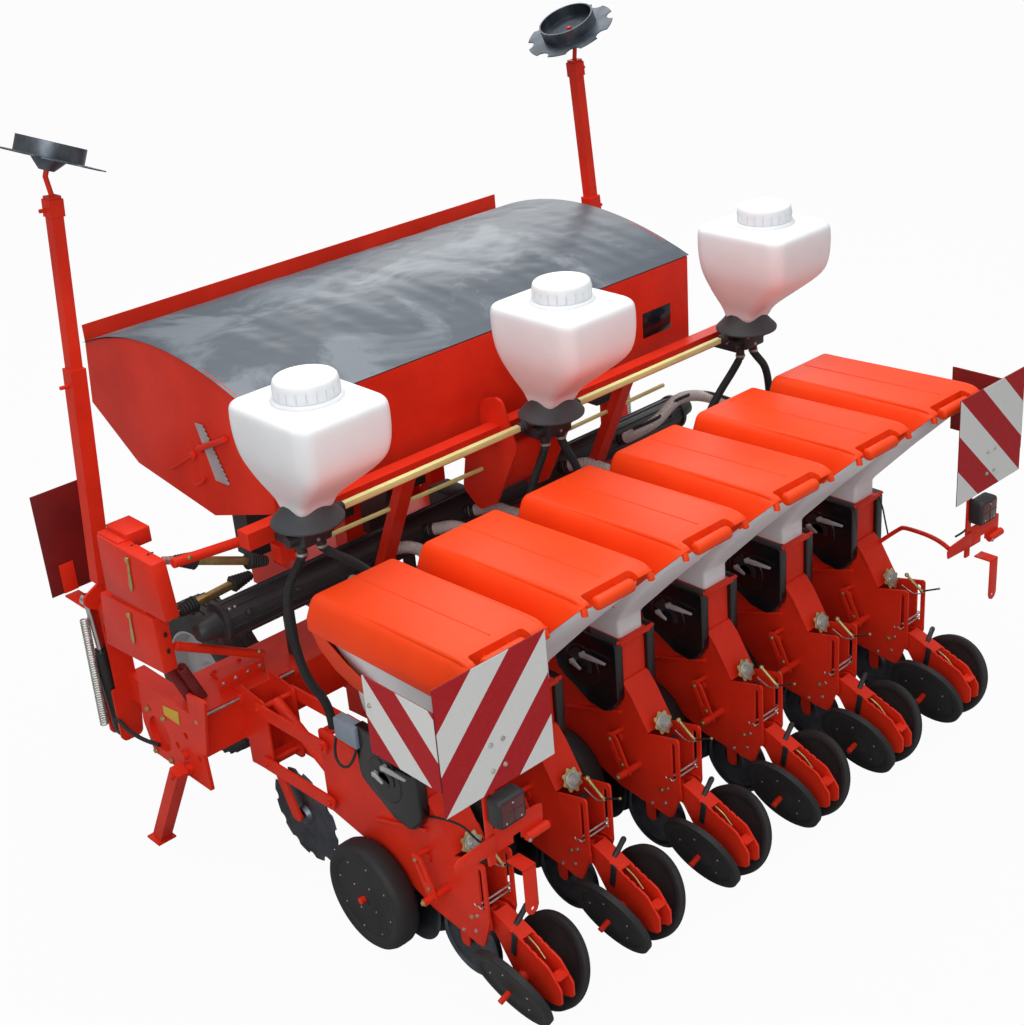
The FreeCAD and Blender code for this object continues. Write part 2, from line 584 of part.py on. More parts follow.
def row_frame():
    inner = "side_half - side_plate"
    span = (f"-({inner}) - 1", f"{inner} + 1")
    rear_wall = box(*span, "neck_rear", "neck_rear + 8", 676, "seat_z")
    cover = side_plate([("neck_rear + 4", 692), ("neck_rear - 38", 640, 60), (309, 522), (302, 528),
                        ("neck_rear - 46", 645, 60), ("neck_rear - 6", 692)], "-side_half - 3", "side_half + 3")
    seat = box("-side_half - 15", "side_half + 15", "neck_rear - 18", 650, "seat_z", "seat_z + seat_plate")
    throat = box("-neck_width / 2 + 12", "neck_width / 2 - 12", "neck_rear + 14", "neck_rear + neck_length - 14",
                 "seat_z - 10", "seat_z + 20")
    head = box(*span, "link_rear - 20", "link_rear + 30", "link_high + 40", "link_high + 48")
    keel = box(*span, 600, 700, 392, 402)
    shank = box(-7, 7, "opener_y - 35", "opener_y + 35", "opener_radius - 25", 395)
    spindle = rod("x", 14, -24, 24, y="opener_y", z="opener_radius + disc_gap")
    gauge_arm = side_plate([(425, 475, 24), (475, 475, 24), ("gauge_y + 32", "gauge_radius + 5", 30),
                            ("gauge_y - 5", "gauge_radius - 32", 30), (425, 425, 24)], 44, 50)
    stub = rod("x", 12, 44, "side_half + gauge_gap + gauge_width + 12", y="gauge_y", z="gauge_radius")
    pivot = rod("x", 15, "-side_half - 8", "side_half + 8", y=450, z=450)
    arm = cut(side_plate([(400, 500, 28), (455, 510, 28), (385, 352, 28), (330, 350, 28)], 118, 126),
              [side_plate([(412, 485, 8), (430, 488, 8), (392, 412, 8), (376, 412, 8)], 110, 130)])
    spacer = rod("x", 13, -165, 165, y=357, z=372)
    hanger = rod("x", 9, "side_half - 1", 119, y=430, z=492)
    fork = side_plate([("follower_y - 20", 385, 15), ("follower_y + 40", 385, 15),
                       ("follower_y + 20", "follower_radius - 18", 15),
                       ("follower_y - 20", "follower_radius - 18", 15)], 22, 28)
    follower_axle = rod("x", 8, -28, 28, y="follower_y", z="follower_radius")
    crank_boss = rod("y", 42, 287, 302, z=541)
    crank = strut(point(0, 292, 541), point(0, 214, 590), 7)
    seat = cut(seat, [throat])
    pins = [rod("x", 10, "-link_inner - link_plate - 8", "link_inner + link_plate + 8", y="link_rear", z=z)
            for z in ("link_high", "link_low")]
    ears = [side_plate([(165, 290, 15), (260, 290, 15), (260, 345, 15), (165, 345, 15)],
                       "side_half - side_plate - 4", "side_half - side_plate + 1")]
    return joined([rear_wall, cover, seat, head, keel, shank, spindle, pivot, spacer, follower_axle]
                  + both([row_side(), gauge_arm, stub, arm, hanger, fork] + ears) + pins)


def row_frames():
    unit = row_frame()
    shapes = on_rows([unit])
    node("row_frames", shapes)


def row_linkages():
    """Bracket clamped on the tool bar, with two pairs of parallel arms back to the row unit."""
    plate = side_plate([("beam_rear", "link_low - 60"), ("beam_rear", "link_high + 40"),
                        ("link_front - 30", "link_high + 20", 25), ("link_front - 30", "link_low - 50", 25)],
                       "side_half", "side_half + 8")
    straps = [box("-side_half - 8", "side_half + 8", "beam_rear - 14", "beam_rear + beam_side + 20", z,
                  f"{z} + 12") for z in ("beam_low - 12 ", "beam_low + beam_side")]
    bolt = rod("z", 8, "beam_low - 22", "beam_low + beam_side + 22", x="side_half - 6",
               y="beam_rear + beam_side + 10")
    pad = box("-side_half - 8", "side_half + 8", "beam_rear - 14", "beam_rear", "link_low - 60", "link_high + 12")
    pins = [rod("x", 10, "-link_inner - link_plate - 8", "link_inner + link_plate + 8", y="link_front",
                z=f"{z} - link_drop") for z in ("link_high", "link_low")]
    arms = []
    for z in ("link_high", "link_low"):
        rear, front = point(0, "link_rear", z), point(0, "link_front", f"{z} - link_drop")
        way = (front - rear).normalize()
        rise = Vector(0, -way.z, way.y) * 26
        corners = [rear - way * 26 - rise, front + way * 26 - rise, front + way * 26 + rise, rear - way * 26 + rise]
        arm = side_plate([(c.y, c.z, 24) for c in corners], "link_inner", "link_inner + link_plate")
        eye = rod("x", "10 + pin_play", "link_inner - 1", "link_inner + link_plate + 1", y="link_rear", z=z)
        arms.append(cut(arm, [eye]))
    spring = strut(point(0, "link_front", "link_high - link_drop"), point(0, "link_rear + 40", "link_low + 25"), 22)
    coulter_block = box("-side_half - 1", "side_half + 1", "link_front + 10", "link_front + 60", "link_low - 40",
                        "link_low - 15")
    shank = side_plate([("link_front + 15", "link_low - 20", 10), ("link_front + 60", "link_low - 20", 10),
                        ("coulter_y + 30", "coulter_radius - 18", 25),
                        ("coulter_y - 28", "coulter_radius - 5", 25)], -36, -26)
    stub = rod("x", 10, -36, 26, y="coulter_y", z="coulter_radius + disc_gap")
    unit = joined([pad, spring, coulter_block, shank, stub] + straps + pins + both([plate, bolt] + arms))
    node("row_linkages", on_rows([unit]))


def metering_units():
    """Round seed meter: a drum between the side plates with a wider cover on each face."""
    at = {"y": "meter_y", "z": "meter_z"}
    drum = rod("x", "meter_radius - 27", "-side_half - 2", "side_half + 2", **at)
    cover = side_plate([(428, 556, 40), (428, 852, 100), (700, 852, 90), (705, 640, 80)],
                       "side_half + clearance", "meter_half")
    chute = box(-30, 30, "meter_y - 40", "meter_y + 20", 388, "meter_z - 60")
    inlet = box(-40, 40, "neck_rear + 20", "neck_rear + neck_length - 20", "meter_z + 60", "seat_z - clearance")
    port = rod("z", 24, "meter_z + 20", "meter_z + 66", x="hose_side", y="meter_y + 126")
    wing = side_plate([(590, 790, 10), (640, 745, 10), (520, 700, 10), (520, 740, 10)], "meter_half - 1",
                      "meter_half + 12")
    node("metering_units", on_rows([joined([drum, chute, inlet] + both([cover, wing]))]))


def seed_hoppers():
    """White hopper with an open top, tapering to a square neck on the row unit's seat."""
    wall = "seed_wall"
    y0, y1, n0, n1 = 84, 724, "neck_rear", "neck_rear + neck_length"
    foot = "seat_z + seat_plate"
    outer = tapered("seed_half", y0, y1, "seed_top", 1290, 930, "neck_width / 2", n0, n1)
    inner = tapered(f"seed_half - {wall}", f"{y0} + {wall}", f"{y1} - {wall}", "seed_top + 1", 1290, 930,
                    f"neck_width / 2 - {wall}", f"{n0} + {wall}", f"{n1} - {wall}")
    neck = box("-neck_width / 2", "neck_width / 2", n0, n1, foot, 931)
    bore = box(f"-neck_width / 2 + {wall}", f"neck_width / 2 - {wall}", f"{n0} + {wall}", f"{n1} - {wall}",
               f"{foot} - 1", 932)
    ears = both([box(66, 74, f"{y1} - 28", "lid_front + 8", "hinge_z - 12", "hinge_z - 1")])
    ears += both([box(66, 74, "lid_front - 8", "lid_front + 8", "hinge_z - 12", "hinge_z + 8")])
    hinge = rod("x", 5, -70, 70, y="lid_front", z="hinge_z")
    node("seed_hoppers", on_rows([joined([cut(joined([outer, neck]), [inner, bore]), hinge] + ears)]))


def lid():
    """Moulded lid: flat top, deep skirt and a beak at the rear with a roll to lift it by."""
    wall = size("lid_wall")
    side = [(20, 1340), (60, "lid_top - 8", 20), (110, "lid_top", 40), ("lid_front - 10", "lid_top", 45),
            ("lid_front", "hinge_z"), (145, "hinge_z - 5")]
    outer = side_plate(side, "-lid_half", "lid_half")
    cavity = side_plate([(48, 1200), (48, 1345), (75, f"lid_top - {wall} - 5"), (120, f"lid_top - {wall}"),
                         (f"lid_front - 15 - {wall}", f"lid_top - {wall}"), (f"lid_front - {wall}", 1200)],
                        "-lid_half + lid_wall", "lid_half - lid_wall")
    roll = rod("x", 20, "-lid_half + 90", "lid_half - 90", y=26, z=1352)
    shoulder = side_plate([(2, 1345, 12), (20, "lid_top - 6", 25), (80, "lid_top - 2", 20), (80, 1330)],
                          "lid_half - 75", "lid_half - 1")
    knuckle = rod("x", 11, -60, 60, y="lid_front", z="hinge_z")
    pin = rod("x", "5 + pin_play", -65, 65, y="lid_front", z="hinge_z")
    notches = both([box(62, 78, "lid_front - 13", "lid_front + 13", "hinge_z - 20", "hinge_z + 13")])
    return joined([cut(joined([cut(outer, [cavity]), knuckle]), [pin] + notches), roll] + both([shoulder]))


def press_spin(side):
    return Rotation(Vector(0, 1, 0), size("press_tilt") * side)



def press_height():
    """Height of a tilted press wheel's centre when its lower edge stands on the ground."""
    tilt = radians(size("press_tilt"))
    return size("press_radius") * cos(tilt) + size("press_width") / 2 * sin(tilt)


def closing_arms():
    """Twin-plate arm behind each row unit, with the two tilted axles, the lever and its notches."""
    inner, outer = "closing_half - closing_plate", "closing_half"
    span = (f"-({inner}) - 1", f"{inner} + 1")
    plate = side_plate([(245, 335, 15), (180, 352, 15), (-60, 262, 30), (-112, 200, 20), (-112, 140, 20),
                        (-70, 125, 20), (80, 125, 20), (180, 270, 20), (245, 285, 15)], inner, outer)
    notches = [rod("x", 7, f"{inner} - 1", f"{outer} + 1", y=y, z=z) for y, z in ((42, 304), (14, 293), (-14, 283))]
    top = side_plate([(178, 345), (60, 300), (58, 306), (176, 351)], *span)
    pivot = rod("x", 12, "-side_half + side_plate + 4 + clearance", "side_half - side_plate - 4 - clearance",
                y=225, z=312)
    tilt = radians(size("press_tilt"))
    centre = Vector(size("press_x"), size("press_y"), press_height())
    out = Vector(cos(tilt), 0, -sin(tilt))
    axles = both([strut(centre - out * 62, centre + out * 62, 10)])
    collar = both([strut(centre - out * 56, centre - out * 24, 20)])
    bridge = box(*span, 20, 80, 150, 180)
    lever = strut(point(-33, 99, 313), point(59, 131, 337), 7)
    tie = box(*span, -100, -60, 225, 231)
    node("closing_arms", on_rows([joined([top, pivot, bridge, lever, tie] + both([cut(plate, notches)]) + axles
                                         + collar)]))


def opener_discs():
    """Twin furrow discs on the shank and the narrow seed-pressing wheel behind them."""
    disc = turned("FurrowDisc", [(-2, 14.6), (2, 14.6), (2, "opener_radius - 12"), (0.5, "opener_radius"),
                                 (-0.5, "opener_radius"), (-2, "opener_radius - 12")])
    toe = 5
    discs = both([placed(disc, 20.5, "opener_y", "opener_radius + disc_gap", Rotation(Vector(0, 0, 1), toe))])
    follower = turned("Follower", [(-15, 8.8), (15, 8.8), (15, 40), (9, 50), (9, "follower_radius - 26"),
                                   (15, "follower_radius - 16"), (9, "follower_radius"),
                                   (-9, "follower_radius"), (-15, "follower_radius - 16"),
                                   (-9, "follower_radius - 26"), (-9, 50), (-15, 40)])
    wheel = placed(follower, 0, "follower_y", "follower_radius")
    node("opener_discs", on_rows(discs + [wheel]))


# ---------------------------------------------------------------- lighting
def warning_boards():
    """Rear and side marker boards, their posts, and the tail lamps on their brackets."""
    low, high = "board_low", "board_low + board_side"
    rear = box("board_inner", "board_inner + board_side - 1", "board_y", "board_y + board_skin", low, high)
    x1 = "board_inner + board_side"
    side = side_plate([("board_y", f"{high} - 71"), ("board_y + side_board", f"{high} - 71"),
                       ("board_y + side_board", f"{low} + 90"), ("board_y", f"{low} + 90")], x1,
                      f"{x1} + board_skin")
    line = "2.5 * row_pitch + board_post"
    post = box(line, f"{line} + 40", "board_y + board_skin", "board_y + board_skin + 6", 480, "board_low + 360")
    lamp = box(f"{line} - 30", f"{line} + 75", "board_y - 50", "board_y - 1", 880, 975)
    lamp_back = box(f"{line} - 35", f"{line} + 85", "board_y - 2", "board_y + board_skin + 2", 800, "board_low - 1")
    arm = box(line, f"{line} + 40", "board_y + board_skin + 5", 300, 480, 492)
    stay = box("board_inner + 300", "board_inner + board_side + board_skin", "board_y + board_skin",
               "board_y + board_skin + 25", "board_low + 250", "board_low + 262")
    foot = box("2.5 * row_pitch + side_half + clearance", f"{line} + 41", 180, 300, 480, 492)
    hook = cross_plate([(f"{line} - 35", 580, 20), (f"{line} + 85", 580, 20), (f"{line} + 85", 700, 20),
                        (f"{line} - 35", 700, 20)], "board_y - 1", "board_y + board_skin + 5")
    front = box("front_board_inner", "front_board_inner + front_board_width", "front_board_y",
                "front_board_y + board_skin", "front_board_low", "front_board_high")
    tab = box("marker_x - 25", "marker_x + 35", "marker_y + 47", "front_board_y + 1", "front_board_low - 16",
              "front_board_low - 8")
    upright = box("marker_x - 25", "marker_x + 35", "front_board_y - 6", "front_board_y + 1",
                  "front_board_low - 16", "front_board_low + 120")
    node("warning_boards", both([joined([rear, side, post, lamp, lamp_back, arm, stay, foot, hook]),
                                 joined([front, tab, upright])]))


# ---------------------------------------------------------------- hoses
def sag(top, foot, runs=7):
    """Places along a limp hose that leaves and arrives straight down, with a short upright run at each end."""
    lead, stub = Vector(0, 0, size("hose_lead")), Vector(0, 0, size("hose_stub"))
    high, low = top - stub, foot + stub
    spots = [top]
    for i in range(runs + 1):
        t = i / runs
        spots.append(high * (1 - t) ** 3 + (high - lead) * (3 * t * (1 - t) ** 2)
                     + (low + lead) * (3 * t ** 2 * (1 - t)) + low * t ** 3)
    return spots + [foot]


def route(spots):
    """Runs joined by tangent arcs as large as both runs allow, and the least radius among them."""
    edges, radii, start = [], [], spots[0]
    for before, corner, after in zip(spots, spots[1:], spots[2:]):
        back, ahead = before - corner, after - corner
        reach = 0.45 * min(back.Length, ahead.Length)
        half = back.getAngle(ahead) / 2
        back.normalize()
        ahead.normalize()
        inward = (back + ahead).normalize()
        middle = corner + inward * (reach / cos(half) - reach * tan(half))
        edges.append(Part.LineSegment(start, corner + back * reach).toShape())
        edges.append(Part.Arc(corner + back * reach, middle, corner + ahead * reach).toShape())
        radii.append(reach * tan(half))
        start = corner + ahead * reach
    edges.append(Part.LineSegment(start, spots[-1]).toShape())
    return Part.Wire(edges), min(radii)


def hose(spots, radius):
    path, bend = route(spots)
    ring = Part.Wire(Part.makeCircle(radius, spots[0], spots[1] - spots[0]))
    tube = new("Part::Feature", "Hose")
    tube.Shape = path.makePipeShell([ring], True, False)
    length = path.Length
    if abs(tube.Shape.Volume - pi * radius ** 2 * length) > 0.01 * tube.Shape.Volume:
        raise ValueError("a hose does not fill its path")
    print(f"hose: radius {radius:g} mm, length {length:.0f} mm, least bend radius {bend:.0f} mm")
    return tube


def hoses():
    """Grey air hoses to the seed meters and black granule hoses down to the row heads."""
    tubes = []
    for number, x in ROWS:
        side = f"{x} + hose_side"
        tubes.append(hose([point(side, "manifold_y - 130.5", "manifold_z - 76.3"),
                           point(side, "manifold_y - 210", "manifold_z - 123"), point(side, 1180, 790),
                           point(side, 1020, 770), point(side, 860, 800), point(side, 745, 790),
                           point(side, 691, 778.5)], size("air_hose")))
        tank = TANKS[(number - 1) // 2]
        spout = "-40" if number % 2 else "40"
        row_x, start_x = size(f"{x} - 20"), size(f"{tank} + {spout}")
        top = Vector(start_x, size("skirt_y"), 1324.5)
        foot = Vector(row_x, size("link_rear") + 5, size("link_high") + 48.3)
        tubes.append(hose(sag(top, foot), size("granule_hose")))
    node("hoses", tubes)


# ---------------------------------------------------------------- moving pieces
def gauge_wheels():
    inner, outer = "-gauge_width / 2", "gauge_width / 2"
    tyre = turned("GaugeWheel", [(inner, 60), (f"{inner} + 20", 60), (f"{inner} + 20", 12.8), (outer, 12.8),
                                 (outer, 40), (f"{outer} - 12", 52), (f"{outer} - 6", "gauge_radius - 50"),
                                 (outer, "gauge_radius - 16"), (f"{outer} - 14", "gauge_radius"),
                                 (f"{inner} + 24", "gauge_radius"), (f"{inner} + 8", "gauge_radius - 14"),
                                 (inner, "gauge_radius - 30")])
    wheel = placed(tyre, "side_half + gauge_gap + gauge_width / 2", "gauge_y", "gauge_radius")
    pair = both([wheel])
    for number, x in ROWS:
        node(f"gauge_wheels_{number}", pair, x)


def press_wheels():
    inner, outer = "-press_width / 2", "press_width / 2"
    tyre = turned("PressWheel", [(f"{inner} - 6", 10.8), (f"{outer} + 6", 10.8), (f"{outer} + 6", 30),
                                 (f"{outer} - 6", 40), (f"{outer} - 6", "press_radius - 34"),
                                 (outer, "press_radius - 24"), (outer, "press_radius"),
                                 (inner, "press_radius"), (inner, "press_radius - 24"),
                                 (f"{inner} + 6", "press_radius - 34"), (f"{inner} + 6", 40),
                                 (f"{inner} - 6", 30)])
    wheel = placed(tyre, "press_x", "press_y", press_height(), press_spin(1))
    for number, x in ROWS:
        node(f"press_wheel_left_{number}", [mirrored(wheel)], x)
        node(f"press_wheel_right_{number}", [wheel], x)


def coulter_discs():
    """Notched disc with a hub, its notches made by one circular pattern."""
    body = turned("CoulterDisc", [(-18, 10.4), (18, 10.4), (18, 34), (2.5, 44), (2.5, "coulter_radius - 10"),
                                  (0.6, "coulter_radius"), (-0.6, "coulter_radius"),
                                  (-2.5, "coulter_radius - 10"), (-2.5, 44), (-18, 34)])
    sketch = body.newObject("Sketcher::SketchObject", "Notch")
    plane = [part for part in body.Origin.OriginFeatures if part.Role == "YZ_Plane"][0]
    sketch.AttachmentSupport = (plane, [""])
    sketch.MapMode = "FlatFace"
    sketch.addGeometry(Part.Circle(Vector(0, size("coulter_radius + 4"), 0), Vector(0, 0, 1), 22), False)
    sketch.addConstraint(Sketcher.Constraint("Radius", 0, 22))
    sketch.addConstraint(Sketcher.Constraint("PointOnObject", 0, 3, -2))
    index = sketch.addConstraint(Sketcher.Constraint("DistanceY", -1, 1, 0, 3, size("coulter_radius + 4")))
    sketch.setExpression(f"Constraints[{index}]", cells("coulter_radius + 4"))
    doc.recompute()
    whole = body.Shape.Volume
    pocket = body.newObject("PartDesign::Pocket", "NotchCut")
    pocket.Profile = sketch
    pocket.Type = "ThroughAll"
    pocket.Midplane = True
    pattern = body.newObject("PartDesign::PolarPattern", "Notches")
    pattern.Originals = [pocket]
    pattern.Axis = (sketch, ["N_Axis"])
    pattern.Angle = 360
    pattern.Occurrences = 12
    body.Tip = pattern
    doc.recompute()
    if not body.Shape.Volume < whole:
        raise ValueError("the coulter's notches cut nothing")
    disc = placed(body, 0, "coulter_y", "coulter_radius + disc_gap")
    for number, x in ROWS:
        node(f"coulter_disc_{number}", [disc], x)


def lids():
    shape = lid()
    for number, x in ROWS:
        node(f"lid_{number}", [shape], x)


def carrier_wheels():
    inner, outer = "-carrier_width / 2", "carrier_width / 2"
    rim = "carrier_radius - 110"
    tyre = turned("CarrierWheel", [(f"{inner} - 18", 25.4), (45, 25.4), (45, 50), (20, 62), (20, f"{rim} - 30"),
                                   (f"{outer} - 24", f"{rim} - 8"), (f"{outer} - 6", rim),
                                   (outer, "carrier_radius - 60"), (f"{outer} - 14", "carrier_radius - 14"),
                                   (f"{outer} - 40", "carrier_radius"), (f"{inner} + 40", "carrier_radius"),
                                   (f"{inner} + 14", "carrier_radius - 14"), (inner, "carrier_radius - 60"),
                                   (f"{inner} + 6", rim), (f"{inner} + 24", f"{rim} - 8"),
                                   (6, f"{rim} - 30"), (6, 62), (f"{inner} - 18", 50)])
    wheel = placed(tyre, "carrier_x", "carrier_y", "carrier_radius")
    node("carrier_wheel_right", [wheel])
    node("carrier_wheel_left", [mirrored(wheel)])


def stands():
    hinge = point("stand_x", "stand_hinge_y", "stand_hinge_z")
    foot = point("stand_x", "stand_foot_y", 8)
    way = (foot - hinge).normalize()
    leg = beam(hinge - way * 28, foot - way * 2, "stand_tube", "stand_tube")
    eye = rod("x", 12.5, "stand_x - stand_tube / 2 - 1", "stand_x + stand_tube / 2 + 1", y="stand_hinge_y",
              z="stand_hinge_z")
    trim = box("stand_x - 60", "stand_x + 60", "stand_foot_y - 100", "stand_foot_y + 100", -60, 0)
    pad = box("stand_x - 38", "stand_x + 39", "stand_foot_y - 40", "stand_foot_y + 44", 0, 8)
    stand = joined([cut(leg, [eye, trim]), pad])
    node("parking_stand_right", [stand])
    node("parking_stand_left", [mirrored(stand)])


def marker_spin():
    return Rotation(Vector(0, 1, 0), -size("marker_lean"))


def on_marker(x, y, z):
    """Place given in the marker arm's own frame: pivot at the origin, the arm along Z."""
    return marker_spin().multVec(Vector(x, y, z)) + point("marker_x", "marker_y", "marker_z")


def tip_way():
    """Axis of the marker disc in the arm's own frame."""
    lean = radians(size("marker_tilt - marker_lean"))
    return Vector(-sin(lean), 0, cos(lean))


def tip_centre():
    return Vector(-6, 0, size("marker_length + 125"))


def marker_arms():
    """Folding arm: hub on the pivot, square sleeve, inner tube, clamp bolts, bent rod at the tip."""
    hub = rod("y", 28, -28, 28)
    bore = rod("y", "15 + pin_play", -30, 30)
    foot = box(-30, 12, -25, 25, 18, 110)
    sleeve = box(-30, 30, -30, 30, 100, "marker_sleeve")
    tube = box(-22.5, 22.5, -22.5, 22.5, "marker_sleeve - 5", "marker_length")
    lever = cross_plate([(-10, -28, 12), (85, 25, 22), (95, 65, 22), (20, 110, 12)], -28, -16)
    bolts = [rod("x", 7, 29, 62, z="marker_sleeve - 60"), rod("x", 7, 22, 52, z="marker_length - 45")]
    collar = box(-27, 27, -27, 27, "marker_length - 70", "marker_length - 10")
    way = tip_way()
    bend = tip_centre() - way * 62
    ball = new("Part::Sphere", "Bend")
    ball.Radius = 9
    ball.Placement.Base = bend
    tip = [strut(Vector(0, 0, size("marker_length - 2")), bend, 9), ball, strut(bend, tip_centre() + way * 16, 9)]
    arm = cut(joined([hub, foot, sleeve, tube, lever, collar] + tip + bolts), [bore])
    piece = placed(arm, "marker_x", "marker_y", "marker_z", marker_spin())
    node("marker_arm_right", [piece])
    node("marker_arm_left", [mirrored(piece)])


def marker_discs():
    """Notched disc with a drum ring on its outer face and a hub cone below."""
    rim = "marker_disc"
    cup = turned("MarkerDisc", [(-42, 9.4), (10, 9.4), (10, 60), (4, 60), (4, 112), (55, 112), (55, 118),
                                (2, 118), (0, rim), (-4, rim), (-4, 60), (-14, 52), (-42, 26)])
    notches = []
    for step in range(8):
        angle = radians(45 * step)
        reach = size("marker_disc + 8")
        notches.append(rod("x", 34, -8, 8, y=reach * cos(angle), z=reach * sin(angle)))
    base = on_marker(*tip_centre())
    disc = placed(cut(cup, notches), base.x, base.y, base.z, Rotation(Vector(0, 1, 0), -90 - size("marker_tilt")))
    node("marker_disc_right", [disc])
    node("marker_disc_left", [mirrored(disc)])


LEVER_EYE = (70, 0, 45)


def marker_cylinders():
    """Lifting cylinder beside each marker arm; its rod eye rides against the arm's lever."""
    foot = point("cylinder_x", "marker_y", "cylinder_z")
    eye = on_marker(*LEVER_EYE)
    way = (eye - foot).normalize()
    lug = rod("y", 26, "marker_y - 20", "marker_y + 20", x="cylinder_x", z="cylinder_z")
    pin = rod("y", "cylinder_foot + pin_play", "marker_y - 22", "marker_y + 22", x="cylinder_x", z="cylinder_z")
    bore = strut(foot + way * 50, foot + way * 361, "cylinder_bore")
    barrel = cut(joined([strut(foot + way * 20, foot + way * 360, 30), lug]), [pin, bore])
    ring = placed(rod("y", 22, "-16 + clearance", 12), eye.x, eye.y, eye.z)
    ram = joined([strut(foot + way * 200, eye, "cylinder_bore - 0.5"), ring])
    for side, shapes in (("right", (barrel, ram)), ("left", (mirrored(barrel), mirrored(ram)))):
        node(f"marker_barrel_{side}", [shapes[0]])
        node(f"marker_rod_{side}", [shapes[1]])


def check_and_export():
    doc.recompute()
    for item in doc.Objects:
        if {"Invalid", "Error"} & set(item.State):
            raise ValueError(f"{item.Name} ({item.Label}) is {item.State}")
    os.makedirs("parts", exist_ok=True)
    for part in NODES:
        if part.Shape.isNull() or not part.Shape.isValid():
            raise ValueError(f"{part.Label} has no valid shape")
        part.Shape.exportStep(f"parts/{part.Label}.step")
        bounds = part.Shape.BoundBox
        print(part.Label, len(part.Shape.Solids), round(part.Shape.Volume),
              [round(v) for v in (bounds.XMin, bounds.XMax, bounds.YMin, bounds.YMax, bounds.ZMin, bounds.ZMax)])


for build in (main_frame, hopper, hopper_cover, dosers_and_fan, air_manifold, granule_tanks, granule_meters,
              granule_beam, drive_shafts, gear_cases, row_frames, row_linkages, metering_units, seed_hoppers,
              closing_arms, opener_discs, warning_boards, hoses, gauge_wheels, press_wheels, coulter_discs,
              lids, carrier_wheels, stands, marker_arms, marker_discs, marker_cylinders):
    build()
check_and_export()
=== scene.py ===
"""Visual model of a mounted six-row precision planter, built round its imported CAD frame."""

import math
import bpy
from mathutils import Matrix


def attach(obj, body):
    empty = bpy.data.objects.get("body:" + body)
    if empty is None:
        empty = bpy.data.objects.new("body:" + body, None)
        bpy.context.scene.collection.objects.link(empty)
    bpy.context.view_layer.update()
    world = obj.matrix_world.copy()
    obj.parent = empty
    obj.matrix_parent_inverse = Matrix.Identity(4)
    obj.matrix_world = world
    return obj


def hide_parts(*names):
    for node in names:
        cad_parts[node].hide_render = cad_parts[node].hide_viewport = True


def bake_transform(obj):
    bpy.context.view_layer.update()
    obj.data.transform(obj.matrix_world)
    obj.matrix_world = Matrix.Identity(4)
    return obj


bl_info = {
    "name": "Precision planter",
    "version": (1, 0, 0),
    "blender": (4, 5, 0),
    "location": "View3D > Sidebar > Planter",
    "description": "Builds the planter's moulded, sheet-metal and rubber pieces and its finishes",
    "category": "Add Mesh",
}

import bpy
from mathutils import Matrix, Vector, noise

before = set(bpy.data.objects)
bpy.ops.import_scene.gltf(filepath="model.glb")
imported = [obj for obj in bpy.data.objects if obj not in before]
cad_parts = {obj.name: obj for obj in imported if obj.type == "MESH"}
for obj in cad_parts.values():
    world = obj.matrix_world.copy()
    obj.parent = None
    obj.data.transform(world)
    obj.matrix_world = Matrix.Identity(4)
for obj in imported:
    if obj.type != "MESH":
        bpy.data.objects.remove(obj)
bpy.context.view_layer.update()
LOOKS = {}
ROWS = [(number, (number - 3.5) * 450) for number in range(1, 7)]
X, Y, Z = Vector((1, 0, 0)), Vector((0, 1, 0)), Vector((0, 0, 1))
FLIP = Matrix.Scale(-1, 4, X)
SAME = Matrix.Identity(4)
SIDES = ((-1, "left"), (1, "right"))

# Places and sizes in millimetres. y is counted forwards from near the press wheels, and is ORIGIN_Y at the
# frame's origin.
ORIGIN_Y = 1250
TANKS = [(x, 0, 0) for x in (-1100, 0, 1100)]
CAP_Y = 892
SPOUT_SIDE = 40
HOPPER_REAR = (1256, 1386), (1251, 1734)
BEAM_REAR = 1450
MARKER_FOOT = 1985
MANIFOLD_Y, MANIFOLD_Z = 1500, 940
OUTLETS = (-665, -500, -280, -70, 450, 800)
OUTLET_WAY = Vector((0, -1, 0.22))
HOSE_SIDE = 30
LINK_REAR, LINK_HIGH = 950, 660
GAUGE_AXLE, GAUGE_SIDE = (700, 200), 118
PRESS_RADIUS, PRESS_HALF, PRESS_TILT = 160, 13, math.radians(20)
CARRIER_AXLE = (895, 2150, 330)

# In metres: where the lids' sides begin to lean in and how far up they do, and the width of a board's stripe.
LID_RIM, LID_RISE = 1.29, 0.095
BAND = 0.141
# Share of its width that a lid loses up to its top.
LID_DRAFT = 0.235


# ------------------------------------------------------------------ places and selections
def mm(x, y, z):
    """A place in millimetres as a point in metres, with y taken back to the frame's origin."""
    return Vector((x, y - ORIGIN_Y, z)) / 1000


def clear():
    """Back to object mode with nothing selected."""
    if bpy.context.object and bpy.context.object.mode != "OBJECT":
        bpy.ops.object.mode_set(mode="OBJECT")
    bpy.ops.object.select_all(action="DESELECT")


def edit(test=None, kind="FACE"):
    """Edit mode with the faces, edges or vertices that pass the test selected, or all of them."""
    piece = bpy.context.object
    bpy.ops.object.mode_set(mode="EDIT")
    bpy.ops.mesh.select_mode(type=kind)
    bpy.ops.mesh.select_all(action="DESELECT" if test else "SELECT")
    bpy.ops.object.mode_set(mode="OBJECT")
    if test:
        items = {"FACE": piece.data.polygons, "EDGE": piece.data.edges, "VERT": piece.data.vertices}[kind]
        for item in items:
            item.select = test(item)
    bpy.ops.object.mode_set(mode="EDIT")


def modify(kind, **settings):
    """Adds a modifier to the active piece and applies it."""
    modifier = bpy.context.object.modifiers.new(kind.title(), kind)
    for name, value in settings.items():
        setattr(modifier, name, value)
    bpy.ops.object.modifier_apply(modifier=modifier.name)


